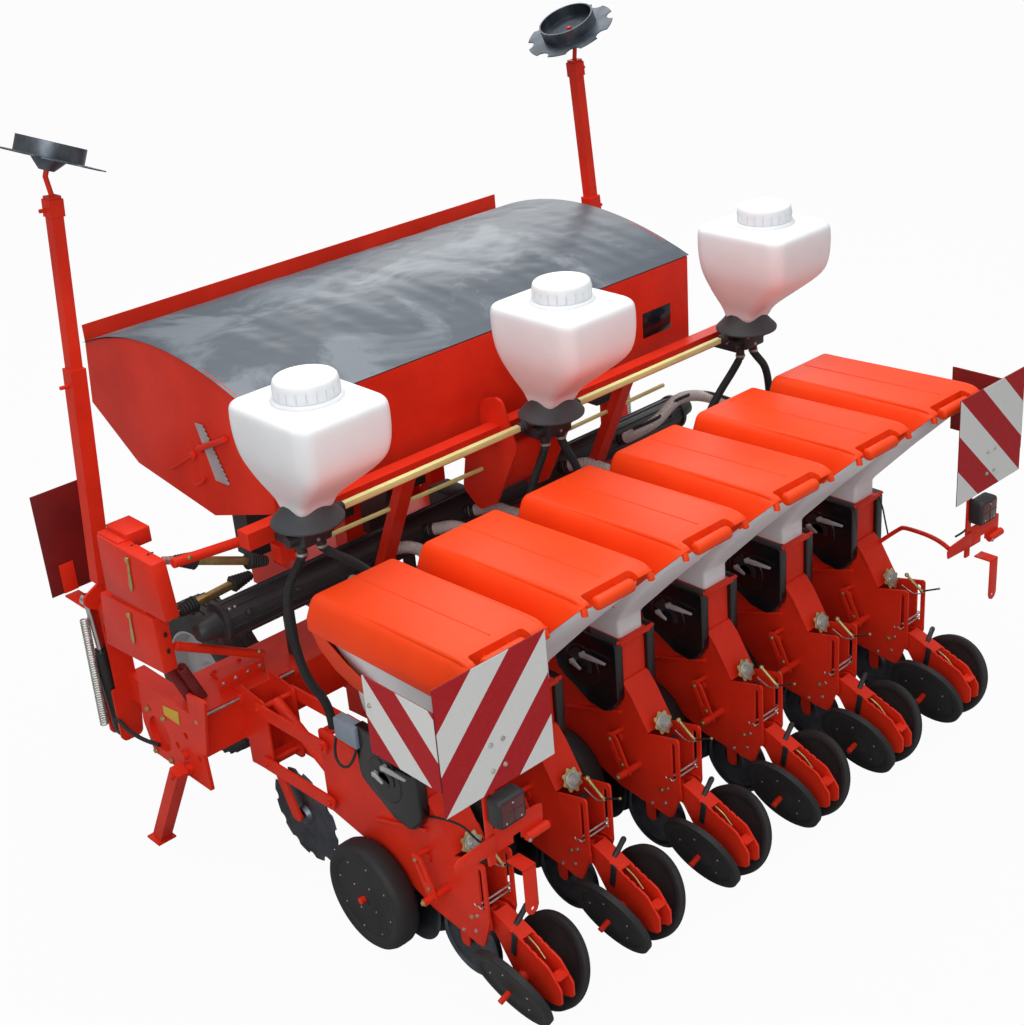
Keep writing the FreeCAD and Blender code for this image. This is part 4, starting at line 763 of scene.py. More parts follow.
class PLANTER_OT_tanks(bpy.types.Operator):
    """Rotomoulded granule tanks with screw caps, and their flared skirts"""
    bl_idname = "planter.tanks"
    bl_label = "Granule tanks"

    def execute(self, context):
        sections = [(1502, 68, 922, 1045), (1545, 74, 912, 1052), (1577, 90, 880, 1060),
                    (1626, 122, 815, 1075), (1697, 158, 722, 1094), (1740, 174, 690, 1104),
                    (1806, 184, 682, 1110), (1880, 184, 682, 1110), (1905, 180, 687, 1106),
                    (1916, 158, 714, 1080), (1919, 120, 750, 1040)]
        tank = drawn(sections, 0.34, 6)
        modify("SUBSURF", levels=2, render_levels=2)
        collar = lathe([(1905, 116), (1918, 116), (1926, 112), (1930, 104)], (0, CAP_Y, 0), steps=48)
        cap = lathe([(1926, 101), (1930, 105), (1972, 104), (1984, 101), (1989, 96), (1989, 88), (1984, 84),
                     (1984, 60)], (0, CAP_Y, 0), steps=48)
        tank = gather([tank, collar, cap] + self.grips(20, 104.5))
        tanks = repeat(tank, TANKS)
        finish(tanks, "granule_tank_shells", "polyethylene", smooth=60)
        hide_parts("granule_tanks")
        skirt = lathe([(1540, 76), (1528, 80), (1512, 88), (1494, 104), (1480, 118), (1474, 122), (1468, 121),
                       (1468, 110), (1478, 100)], (0, 990, 0), steps=56)
        skirts = repeat(skirt, TANKS)
        finish(skirts, "granule_skirts", "grey_nylon")
        body = block((-58, 945, 1395), (58, 1040, 1470), bevel=8, segments=3)
        roller = lathe([(-92, 12), (-92, 20), (-70, 22), (-58, 24), (58, 24), (70, 22), (92, 20), (92, 12)],
                       (0, 990, 1420), X, 28)
        spouts = [bar((x, 990, 1402), (x, 990, 1350), 17) for x in (-SPOUT_SIDE, SPOUT_SIDE)]
        foot = block((-52, 1000, 1372), (52, 1124, 1400), bevel=3)
        meters = repeat(gather([body, foot, roller] + spouts), TANKS)
        finish(meters, "granule_meter_bodies", "black_nylon")
        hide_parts("granule_meters")
        clips = [lathe([(0, 18), (1, 19.5), (9, 19.5), (10, 18)], (x, 990, 1356), Z, 24)
                 for x in (-SPOUT_SIDE, SPOUT_SIDE)]
        nuts = bolts([(-44, 945, 1450), (44, 945, 1450), (0, 945, 1410)], 6)
        finish(repeat(gather(clips + [nuts]), TANKS), "granule_meter_clips", "bright_zinc")
        return {"FINISHED"}

    def grips(self, count, radius):
        """Upright ribs round the screw cap."""
        ribs = []
        for i in range(count):
            angle = i * math.tau / count
            rib = block((-2.0, ORIGIN_Y - 1.6, 1934), (2.0, ORIGIN_Y + 1.6, 1966), bevel=1.2)
            shift = Vector((radius / 1000 * math.cos(angle),
                            (CAP_Y - ORIGIN_Y) / 1000 + radius / 1000 * math.sin(angle), 0))
            ribs.append(moved(rib, Matrix.Translation(shift)))
        return ribs


class PLANTER_OT_cover(bpy.types.Operator):
    """Tarpaulin stretched over the trough"""
    bl_idname = "planter.cover"
    bl_label = "Trough cover"

    def execute(self, context):
        crease = context.scene.planter_sizes.crease / 1000
        clear()
        bpy.ops.mesh.primitive_grid_add(x_subdivisions=220, y_subdivisions=110, size=2)
        sheet = context.object
        rear, top, front = Vector((1253, 1736)), Vector((1851, 1862)), Vector((2398, 1762))
        half_wide = 1061
        hem, hem_half = 0.045, 0.02
        for vertex in sheet.data.vertices:
            u, v = vertex.co.x, (vertex.co.y + 1) / 2
            # u runs from side to side as -1 to 1, v from rear to front as 0 to 1; the arch meets 3 spots
            a, b, c = 2 * (v - 0.5) * (v - 1), -4 * v * (v - 1), 2 * v * (v - 0.5)
            y, z = rear * a + top * b + front * c
            # broad pulls and narrow folds from front to rear, calm at the edges, and a hem at the rear
            pull = noise.fractal(Vector((u * 2.2, v * 5.0 + u * 1.2, 0.3)), 0.9, 2.1, 4)
            folds = noise.noise(Vector((u * 16 + v * 3, v * 1.4, 1.7))) * 0.5
            seam = math.exp(-((v - hem) / hem_half) ** 2) * 0.4
            calm = min(1, 8 * (1 - abs(u))) * min(1, 10 * v, 10 * (1 - v))
            lift = (abs(pull) * 0.9 + folds - 0.1) * crease * calm * 0.9 + 0.001 + seam * crease * 0.4
            vertex.co = mm(u * half_wide, y, z) + Vector((0, 0, max(lift, -0.001)))
        modify("SOLIDIFY", thickness=0.0015, offset=1)
        finish(sheet, "trough_tarpaulin", "tarpaulin", smooth=60)
        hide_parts("hopper_cover")
        return {"FINISHED"}


class PLANTER_OT_boards(bpy.types.Operator):
    """Striped marker boards with their brackets and tail lamps"""
    bl_idname = "planter.boards"
    bl_label = "Boards and lamps"

    def execute(self, context):
        square = [(1043, 995), (1466, 995), (1466, 1418), (1043, 1418)]
        wing = [(-45, 1347), (-45, 1085), (265, 1085), (265, 1347)]
        ahead = [(1200, 876), (1450, 876), (1450, 1300), (1200, 1300)]
        backs = []
        for side, name in SIDES:
            mirror = FLIP if side < 0 else SAME
            skin = repeat(plate(square, -46.5, -45, "y", bevel=0.4, segments=1), [mirror])
            finish(skin, f"rear_board_skin_{name}", f"rear_stripes_{name}")
            skin = repeat(plate(wing, 1469.5, 1471, "x", bevel=0.4, segments=1), [mirror])
            finish(skin, f"side_board_skin_{name}", "side_stripes")
            sheets = [plate(square, -45, -42, "y", bevel=0.8), plate(wing, 1466.5, 1469.5, "x", bevel=0.8),
                      plate(ahead, 2280, 2283, "y", bevel=0.8)]
            backs.append(repeat(gather(sheets), [mirror]))
        finish(gather(backs), "board_backs", "dark_red_plate")
        heads = bolts([(x, -46.5, z) for x in (-1282, -1235, 1235, 1282) for z in (1061, 1149)], 7)
        heads = gather([heads] + [bolts([(side * 1471, 244, 1254)], 7, X * side) for side in (-1, 1)])
        finish(heads, "board_bolts", "bright_zinc")
        self.brackets()
        self.lamps()
        return {"FINISHED"}

    def brackets(self):
        """Post, plates and hanging tab of each lamp, and the bent rods that carry them."""
        shift = [(0, 0, 0), (2490, 0, 0)]
        post = block((-1290, 2, 700), (-1262, 12, 1180), bevel=2)
        base = plate([(-1262, 735), (-1075, 728), (-1066, 745), (-1066, 806), (-1080, 812), (-1262, 822)],
                     2, 8, "y")
        carve(base, block((-1190, -6, 703), (-1156, 14, 757), bevel=3))
        bar_flat = plate([(-1420, 752), (-1262, 742), (-1262, 806), (-1408, 798), (-1424, 782)],
                         -4, 2, "y", 1.5)
        sleeve = bar((-1146, -6, 731), (-1058, -6, 731), 15)
        fold = block((-1222, -66, 676), (-1170, 8, 682), bevel=1.5)
        tab = plate([(-1222, 681), (-1222, 530), (-1214, 512), (-1196, 503), (-1178, 512), (-1170, 530),
                     (-1170, 681)], -66, -61, "y")
        carve(tab, lathe([(-20, 7), (20, 7)], (-1196, -64, 526), Y))
        stay = block((-1300, 2, 1040), (-1236, 12, 1170), bevel=2)
        brackets = repeat(gather([post, base, bar_flat, sleeve, fold, tab, stay]), shift)
        rods = [wire([(1185, 467, 577), (1188, 300, 742), (1178, 262, 762), (1100, 60, 806), (1082, 4, 790)],
                     9, 12),
                wire([(-1065, 467, 577), (-1062, 300, 732), (-1075, 262, 752), (-1120, 60, 780),
                      (-1120, 4, 780)], 9, 12)]
        clamps = [block((1170, 455, 560), (1200, 480, 592), 3),
                  block((-1080, 455, 560), (-1050, 480, 592), 3)]
        mounts = []
        for side in (-1, 1):
            angle = [(1340, 876), (1400, 876), (1400, 996), (1340, 996)]
            arm = gather([block((1340, 2078, 860), (1400, 2280, 868), 2), plate(angle, 2274, 2279.5, "y")])
            mounts.append(repeat(arm, [FLIP if side < 0 else SAME]))
        metal = gather([brackets] + rods + clamps + mounts)
        finish(metal, "board_brackets", "powder_coat")
        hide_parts("warning_boards")
        heads = bolts([(-1279, 2, 793), (-1279, 2, 756), (-1148, -24, 731)], 6)
        finish(repeat(heads, shift), "bracket_bolts", "bright_zinc")

    def lamps(self):
        """Square tail lamps with a divided lens, their screws and their cables."""
        shift = [(0, 0, 0), (2484, 0, 0)]
        hood = block((-1286, -62, 852), (-1178, 2, 952), bevel=15, segments=4)
        carve(hood, block((-1279, -80, 860), (-1185, -56, 944), bevel=5))
        finish(repeat(hood, shift), "lamp_hoods", "black_nylon")
        lens = block((-1278, -60, 861), (-1186, -50, 943), bevel=4, segments=3)
        cross = [block((-1278, -62, 899), (-1186, -52, 903), 1),
                 block((-1230, -62, 861), (-1227, -52, 943), 1)]
        finish(repeat(gather([lens] + cross), shift), "lamp_lenses", "lamp_lens")
        screws = [moved(lathe([(0, 4), (2, 4), (3, 3)], steps=12), at(mm(x, -60, z), -Y))
                  for x, z in ((-1262, 872), (-1203, 872), (-1232, 932))]
        finish(repeat(gather(screws), shift), "lamp_screws", "bright_zinc")
        cable = wire([(-1240, 0, 860), (-1262, 24, 820), (-1268, 40, 760), (-1250, 90, 720),
                      (-1200, 250, 700), (-1190, 430, 620)], 4)
        loop = wire([(1190, 400, 852), (1196, 384, 810), (1194, 372, 760), (1190, 352, 700)], 3.5)
        right = wire([(1240, 0, 862), (1216, 10, 840), (1200, 8, 815), (1180, 40, 790)], 4)
        finish(gather([cable, loop, right]), "lamp_cables", "rubber")


class PLANTER_OT_row_details(bpy.types.Operator):
    """Cranks, pins, latches and covers of the row units"""
    bl_idname = "planter.row_details"
    bl_label = "Row unit details"

    def execute(self, context):
        hub, knob = Vector((0, -0.950, 0.541)), Vector((0, -1.036, 0.588))
        axis = (knob - hub).normalized()
        lobes = []
        for i, radius in enumerate((43, 43, 35, 35) * 8):
            angle = i * math.tau / 32
            lobes.append((radius * math.cos(angle), ORIGIN_Y + radius * math.sin(angle)))
        star = moved(plate(lobes, 0, 5, "z", bevel=1.2), at(hub + axis * 0.012, axis))
        ball = lathe([(-8, 3), (-6, 6.5), (-3, 8.6), (0, 9.2), (3, 8.6), (6, 6.5), (8, 3)], steps=20)
        ball = moved(ball, at(knob, axis))
        crank = gather([wire([(0, 214, 588), (0, 186, 566), (0, 142, 538)], 5.5),
                        moved(lathe([(-6, 4), (-4, 7), (4, 7), (6, 4)], steps=16), at(mm(0, 142, 538), X))])
        tip = moved(lathe([(-5, 2), (-3, 4.6), (0, 5.4), (3, 4.6), (5, 2)], steps=14), at(mm(0, 66, 577), Y))
        pins = bolts([(-127, 428, 484), (-127, 372, 398)], 7, -X)
        ends = [bolts([(side * 166, 357, 372)], 9, X * side) for side in (-1, 1)]
        wing = bolts([(-61, 250, 312), (61, 250, 312)], 8, -X)
        finish(on_rows(gather([star, ball, crank, tip, pins, wing] + ends)), "row_gold_fittings",
               "yellow_zinc")
        washer = lathe([(0, 30), (2.5, 30), (3.5, 28), (3.5, 20), (7, 18), (7, 12), (10, 11)], steps=32)
        washer = moved(washer, at(hub + axis * 0.018, axis))
        clip = wire([(12, 243, 528), (12, 226, 520), (10, 192, 509), (8, 170, 513), (6, 150, 524)], 2.6)
        slot_pins = [bar((-66, 186, 404), (66, 186, 404), 3.6), bar((-66, 190, 380), (66, 190, 380), 3.6)]
        angles = [i * math.tau / 12 for i in range(12)]
        ring = [mm(68, 198 + 11 * math.cos(angle), 388 + 11 * math.sin(angle)) for angle in angles]
        ring = tube(ring, 2.2, 8, closed=True)
        ringtail = wire([(-68, 190, 380), (-70, 204, 392), (-68, 214, 372), (-66, 222, 384)], 2.2)
        heads = [bolts([(side * 60, y, z) for y, z in ((236, 262), (222, 330), (300, 232))], 6.5, X * side)
                 for side in (-1, 1)]
        fittings = gather([washer, clip, ring, ringtail] + heads + slot_pins)
        finish(on_rows(fittings), "row_zinc_fittings", "bright_zinc")
        self.black_parts()
        self.red_parts()
        self.meter_covers()
        return {"FINISHED"}

    def black_parts(self):
        """Rubber stop, crank grip and closing lever."""
        stop = block((-30, 244, 484), (30, 268, 494), bevel=3)
        grip = wire([(0, 138, 541), (0, 104, 558), (0, 72, 574)], 3.6)
        handle = lathe([(0, 7), (3, 9.5), (12, 10.5), (60, 9.6), (82, 10.5), (90, 9), (94, 5)], steps=20)
        handle = moved(handle, at(mm(-6, 107, 319), mm(59, 131, 337) - mm(-33, 99, 313)))
        blade = flat((-35, 78, 320), (-35, 92, 232), 6, 22, 2)
        finish(on_rows(gather([stop, grip, handle, blade])), "row_black_parts", "black_nylon")

    def red_parts(self):
        """Gauge arm edges, seat hooks and the flat spring bars along the closing arms."""
        hooks = [wire([(side * 72, 410, 858), (side * 84, 404, 858), (side * 88, 400, 866)], 7, 10)
                 for side in (-1, 1)]
        lip = block((-75, 400, 846), (75, 404, 864), bevel=1.5)
        shelves = [plate([(425, 560), (700, 470), (705, 482), (430, 574)], side * 66 - 7, side * 66 + 7, "x")
                   for side in (-1, 1)]
        bosses = [bar((side * 58, 450, 450), (side * 72, 450, 450), 22) for side in (-1, 1)]
        finish(on_rows(gather(hooks + [lip] + shelves + bosses)), "row_red_parts", "powder_coat")
        rod = wire([(8, 104, 309), (8, 60, 292), (8, 24, 277), (8, 8, 262), (8, -10, 246)], 3.2)
        finish(on_rows(rod), "closing_rods", "yellow_zinc")

    def meter_covers(self):
        """Glossy meter covers with two winged latches."""
        outline = [(407, 864), (404, 845), (405, 640), (412, 620), (460, 570), (480, 563), (549, 572),
                   (700, 660), (712, 690), (712, 864)]
        covers, wings = [], []
        for side in (-1, 1):
            low, high = sorted((side * 60.5, side * 101))
            covers.append(plate(outline, low, high, "x", bevel=7, segments=4))
            boss = lathe([(100, 84), (104, 80), (104, 30), (107, 28), (107, 10)], (0, 570, 716), X * side, 40)
            covers.append(boss)
            for y, z, length, lean in ((556, 772, 118, 0.06), (608, 726, 44, -0.35)):
                tip = (y - length, z + length * lean)
                blade = [(y + 10, z - 8), (y + 12, z + 6), (y - 6, z + 13),
                         (y - length * 0.4, z + 11 + length * lean * 0.4), (tip[0], tip[1] + 4),
                         (tip[0] + 3, tip[1] - 5), (y - length * 0.3, z - 9 + length * lean * 0.3)]
                low, high = sorted((side * 112, side * 120))
                wings.append(plate(blade, low, high, "x", bevel=2.4, segments=3))
                wings.append(lathe([(100, 11), (118, 10), (122, 7)], (0, y, z), X * side, 16))
        finish(on_rows(gather(covers)), "meter_covers", "gloss_nylon")
        finish(on_rows(gather(wings)), "meter_latches", "silver_plate")


class PLANTER_OT_wheels(bpy.types.Operator):
    """Gauge, press and carrier wheels with their faces and bolts"""
    bl_idname = "planter.wheels"
    bl_label = "Wheels"

    def execute(self, context):
        self.gauge_wheels()
        self.press_wheels()
        self.carrier_wheels()
        return {"FINISHED"}

    def gauge_wheels(self):
        """Closed rubber gauge wheels, band and disc in one piece, with their bolts."""
        profile = [(-30, 13), (-30, 60), (-42, 66), (-50, 92), (-50, 168), (-46, 180), (-36, 192), (-20, 199),
                   (0, 200), (24, 199), (40, 193), (49, 182), (50, 172), (47, 160), (43, 152), (40, 148),
                   (38, 60), (41, 52), (41, 26), (44, 24), (44, 13)]
        wheel = ring_wheel(profile, 72)
        heads = bolt_circle(8, 12, 135, 4.2, 38.5) + bolt_circle(4, 30, 62, 3.6, 38.5)
        heads = gather(heads + [moved(bolt(9), at(Vector((0.044, 0, 0)), X))])
        for number, x in ROWS:
            body = f"gauge_wheels_{number}"
            places = [Matrix.Translation(mm(x + GAUGE_SIDE, *GAUGE_AXLE)),
                      Matrix.Translation(mm(x - GAUGE_SIDE, *GAUGE_AXLE)) @ FLIP]
            rubber = finish(repeat(copy_of(wheel), places), f"gauge_wheel_pair_{number}", "rubber", body)
            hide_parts(body)
            finish(repeat(copy_of(heads), places), f"gauge_wheel_bolts_{number}", "yellow_zinc", body)
        discard(wheel, heads)

    def press_wheels(self):
        """Tilted press wheels: flat rubber rims on dished discs."""
        profile = [(-19, 11), (-19, 30), (-9, 38), (-6, 44), (-6, 122), (-9, 128), (-13, 134), (-13, 155),
                   (-10, 160), (10, 160), (13, 155), (13, 138), (11, 130), (7, 126), (9, 60), (13, 44),
                   (19, 30), (19, 11)]
        wheel = ring_wheel(profile, 64)
        hub = moved(gather([bolt(8), lathe([(0, 5), (34, 5), (36, 3)], steps=12)]),
                    at(Vector((0.019, 0, 0)), X))
        dots = gather(bolt_circle(5, 20, 88, 3.6, 8.5))
        height = PRESS_RADIUS * math.cos(PRESS_TILT) + PRESS_HALF * math.sin(PRESS_TILT)
        for number, x in ROWS:
            for side, name in SIDES:
                row = Matrix.Translation(mm(x, ORIGIN_Y, 0)) @ (FLIP if side < 0 else SAME)
                place = row @ Matrix.Translation(mm(85, 50, height)) @ Matrix.Rotation(PRESS_TILT, 4, "Y")
                body = f"press_wheel_{name}_{number}"
                rubber = repeat(copy_of(wheel), [place])
                finish(rubber, f"press_tyre_{name}_{number}", "rubber", body)
                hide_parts(body)
                finish(repeat(copy_of(dots), [place]), f"press_bolts_{name}_{number}", "bright_zinc", body)
                finish(repeat(copy_of(hub), [place]), f"press_hub_{name}_{number}", "yellow_zinc", body)
        discard(wheel, dots, hub)

    def carrier_wheels(self):
        """Ribbed transport tyres on silver rims."""
        half = 90
        tread = [(-half, 270), (-half + 4, 300), (-half + 14, 318), (-half + 30, 326), (-52, 327), (-50, 321),
                 (-42, 321), (-40, 329), (-16, 330), (-14, 323), (-6, 323), (-4, 330), (4, 330), (6, 323),
                 (14, 323), (16, 330), (40, 329), (42, 321), (50, 321), (52, 327), (half - 30, 326),
                 (half - 14, 318), (half - 4, 300), (half, 270), (half - 2, 236), (half - 10, 221),
                 (half - 24, 212), (-half + 24, 212), (-half + 10, 221), (-half + 2, 236)]
        tyre = ring_wheel(tread, 72)
        lugs = []
        for i in range(36):
            for side in (-1, 1):
                lug = block((side * 62 - 14, ORIGIN_Y - 7, 306), (side * 62 + 14, ORIGIN_Y + 7, 327.5), 3, 1)
                step = i + (0.5 if side > 0 else 0)
                lugs.append(moved(lug, Matrix.Rotation(math.tau * step / 36, 4, "X")))
        tyre = gather([tyre] + lugs)
        rim = ring_wheel([(-66, 213), (-70, 220), (-74, 220), (-74, 208), (-60, 200), (-40, 188), (4, 186),
                          (6, 150), (8, 62), (-100, 50), (-100, 26), (44, 26), (44, 50), (20, 62),
                          (18, 150), (16, 190), (62, 204), (74, 208), (74, 220), (70, 220), (66, 213)], 64)
        for name, mirror in (("right", SAME), ("left", FLIP)):
            place = mirror @ Matrix.Translation(mm(*CARRIER_AXLE))
            body = f"carrier_wheel_{name}"
            rubber = finish(repeat(copy_of(tyre), [place]), f"carrier_tyre_{name}", "tyre_rubber", body)
            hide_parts(body)
            finish(repeat(copy_of(rim), [place]), f"carrier_rim_{name}", "silver_plate", body)
        discard(tyre, rim)


class PLANTER_OT_drives(bpy.types.Operator):
    """Gear case doors, cardan shafts and the seed drive's springs"""
    bl_idname = "planter.drives"
    bl_label = "Drives"

    def execute(self, context):
        upper = [(1795, 1299), (1437, 1296), (1408, 1088), (1808, 1075)]
        lower = [(1862, 1047), (1503, 1067), (1492, 851), (1895, 822)]
        cases = [plate(upper, -1450, -1393, "x", bevel=3), plate(lower, -1450, -1393, "x", bevel=3)]
        link = block((-1440, 1560, 1035), (-1400, 1800, 1090), bevel=3)
        bracket = block((-1410, 1855, 850), (-1392, MARKER_FOOT, 935), bevel=3)
        cap = block((-1406, 1662, 1262), (-1311, 1800, 1322), bevel=3)
        shelf = block((-1440, 1668, 1296), (-1330, 1806, 1304), bevel=2)
        strut = bar((-1387, 1500, 934), (-1047, 1500, 742), 17)
        brace = bar((-1388, 1400, 1292), (-1067, 1400, 1262), 18)
        case = gather(cases + [link, bracket, cap, shelf, strut, brace])
        finish(case, "gear_case_shells", "powder_coat")
        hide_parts("gear_cases")
        hooks = []
        for top, low in (((1587, 1267), (1605, 1144)), ((1660, 1026), (1671, 909))):
            tip, end = Vector(top), Vector(low)
            across = Vector((tip.y - end.y, end.x - tip.x)).normalized()
            halves = [(tip, 5), (tip.lerp(end, 0.4), 7), (tip.lerp(end, 0.85), 12), (end, 3)]
            blade = [spot + across * half for spot, half in halves]
            blade += [spot - across * half for spot, half in reversed(halves)]
            hooks.append(plate([tuple(spot) for spot in blade], -1456, -1452, "x", 1.2))
            hooks.append(block((-1462, top[0] - 10, top[1] - 6), (-1450, top[0] + 10, top[1] + 14), 4))
        tops = bolts([(-1372, 1752, 1304)], 8, Z)
        fixings = bolts([(-1068, 1484, 768), (-1330, 1384, 1295)], 8)
        finish(gather(hooks + [tops, fixings]), "gear_case_hooks", "yellow_zinc")
        # dark plates painted as the shade inside the gear cases' slots and oval holes, where no opening is
        # cut
        slot_shades = [plate([(-1424, z - 9), (-1412, z - 9), (-1412, z + 9), (-1424, z + 9)], y, y + 4.4, "y", 2)
                 for y, z in ((1425, 1201), (1425, 1138), (1490, 995), (1490, 930))]
        oval_slot_shades = [lathe([(0, 5), (1.4, 5)], (x, y, 1297.4), Z, 16) for y in (1516, 1624)
                 for x in (-1411, -1395)]
        finish(gather(slot_shades + oval_slot_shades), "gear_case_slot_shades", "black_enamel_and_slot_shade")
        coils = [spring(mm(-1405, 1546, 838), mm(-1322, 1578, 648), 16, 4, 19),
                 spring(mm(-1370, 1520, 834), mm(-1287, 1552, 646), 16, 4, 19)]
        finish(gather(coils), "drive_springs", "dark_red_plate")
        self.shafts()
        return {"FINISHED"}

    def shafts(self):
        """Telescopic square shafts between ribbed rubber boots."""
        metal, pale, boots, stubs = [], [], [], []
        for start, end in (((-1369, 1450, 1279), (-1000, 1450, 1125)),
                           ((-1323, 1600, 991), (-985, 1600, 1011))):
            a, b = mm(*start), mm(*end)
            way = (b - a).normalized()
            metal.append(flat(start, end, 26, 26, 2))
            boots += [self.boot(a + way * 0.055, way), self.boot(b - way * 0.04, -way)]
            stubs.append(moved(lathe([(0, 14), (30, 14), (32, 12)], steps=20), at(a - way * 0.03, way)))
        for side in (-1, 1):
            pale.append(flat((side * 990, 1006, 1456), (side * 110, 1006, 1456), 22, 22, 2))
            pale.append(flat((side * 869, 1240, 1237), (side * 139, 1240, 1228), 13, 13, 2))
            cuff = [(0, 18), (6, 22), (16, 22), (22, 18), (28, 20), (34, 16)]
            boots += [lathe(cuff, (side * x, 1003, 1456), X * side * way, 24)
                      for x, way in ((984, -1), (116, 1))]
        metal = gather(metal)
        finish(metal, "seed_shafts", "yellow_zinc")
        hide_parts("drive_shafts")
        finish(gather(pale), "granule_shafts", "pale_coat")
        finish(gather(boots), "shaft_boots", "rubber")
        finish(gather(stubs), "shaft_stubs", "bright_zinc")

    def boot(self, place, way):
        """Bellows of seven folds that widen away from the shaft's end."""
        rings, folds = [(-44, 12)], 7
        for i in range(folds):
            wide = 17 + 12 * (i / (folds - 1))
            rings += [(-40 + i * 12, wide), (-34 + i * 12, wide + 3), (-30 + i * 12, wide - 2)]
        rings += [(44, 27), (46, 20)]
        return moved(lathe(rings, steps=28), at(place, way))


class PLANTER_OT_beam_details(bpy.types.Operator):
    """Fixings, adjusting rods and labels of the tool bar, and the manifold's ribs"""
    bl_idname = "planter.beam_details"
    bl_label = "Beam and manifold"

    def execute(self, context):
        rods = [bar((-1345, BEAM_REAR - 7, 652), (-1207, BEAM_REAR - 7, 652), 6),
                bar((-1164, BEAM_REAR - 7, 652), (-963, BEAM_REAR - 7, 652), 6)]
        finish(repeat(gather(rods), [SAME, FLIP]), "adjusting_rods", "bright_zinc")
        strip = block((-1240, 1512, 640), (-1040, 1518, 716), bevel=2)
        blocks = [block((x - 20, BEAM_REAR - 10, 628), (x + 20, BEAM_REAR + 14, 664), bevel=2)
                  for x in (-1186, -945)]
        finish(repeat(gather([strip] + blocks), [SAME, FLIP]), "beam_brackets", "powder_coat")
        heads = bolts([(x, 1512, 694) for x in (-1220, -1166, -1112, -1058)], 8)
        finish(repeat(heads, [SAME, FLIP]), "beam_bolts", "bright_zinc")
        for side, name in SIDES:
            spots = [(side * 1396, y, z)
                     for y, z in ((1786, 562), (1677, 564), (1789, 374), (1682, 375), (1420, 659))]
            finish(bolts(spots, 11, X * side), f"end_plate_bolts_{name}", "yellow_zinc")
        label = plate([(1665, 625), (1556, 641), (1563, 582), (1667, 582)], -1396.2, -1395, "x", 0.2, 1)
        finish(label, "beam_label", "yellow_vinyl")
        self.manifold()
        box = block((-1240, 690, 780), (-1195, 805, 862), bevel=6, segments=3)
        finish(box, "junction_box", "grey_box")
        loop = wire([(-1235, 806, 780), (-1236, 834, 706), (-1236, 800, 660), (-1234, 735, 698),
                     (-1230, 700, 782)], 5)
        finish(loop, "junction_cable", "rubber")
        return {"FINISHED"}

    def manifold(self):
        """Ribbed pipe with end caps, outlets, fan duct and brackets."""
        centre = (0, MANIFOLD_Y, MANIFOLD_Z)
        pipe = lathe([(-1214, 24), (-1214, 44), (-1206, 66), (-1196, 68), (1196, 68), (1206, 66), (1214, 44),
                      (1214, 24)], centre, X, 48)
        parts = [pipe]
        for i in range(12):
            rib = block((-1192, ORIGIN_Y - 3, 66), (1192, ORIGIN_Y + 3, 73), 1.5)
            turn = Matrix.Rotation(i * math.tau / 12, 4, "X")
            parts.append(moved(rib, Matrix.Translation(mm(*centre)) @ turn))
        for side in (-1, 1):
            parts.append(lathe([(1186, 70), (1190, 77), (1206, 77), (1210, 70)], centre, X * side, 48))
            cap = [(1196, 50), (1216, 50), (1262, 40), (1290, 34), (1296, 28), (1296, 20)]
            parts.append(lathe(cap, centre, X * side, 40))
            parts += [lathe([(64, 12), (82, 12), (86, 8)], (side * x, MANIFOLD_Y, MANIFOLD_Z),
                            Vector((0, -0.9, 0.43)), 20) for x in (1112, 897)]
        parts.append(block((-55, 1540, 890), (55, 1700, 990), bevel=10, segments=3))
        parts += [block((x - 6, 1485, 660), (x + 6, 1555, 905), bevel=2) for x in (-900, -320, 320, 900)]
        # the hose of row 1 leaves lower down, so its outlet has no stub
        parts += [moved(lathe([(50, 25), (76, 25), (80, 22)], steps=28),
                        at(mm(x, MANIFOLD_Y, 952), OUTLET_WAY))
                  for x in OUTLETS[1:]]
        manifold = finish(gather(parts), "manifold_pipe", "black_nylon")
        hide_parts("air_manifold")
        heads = bolts([(-1183, 1440, 1013), (-1161, 1440, 1013)], 6)
        finish(heads, "manifold_bolts", "bright_zinc")


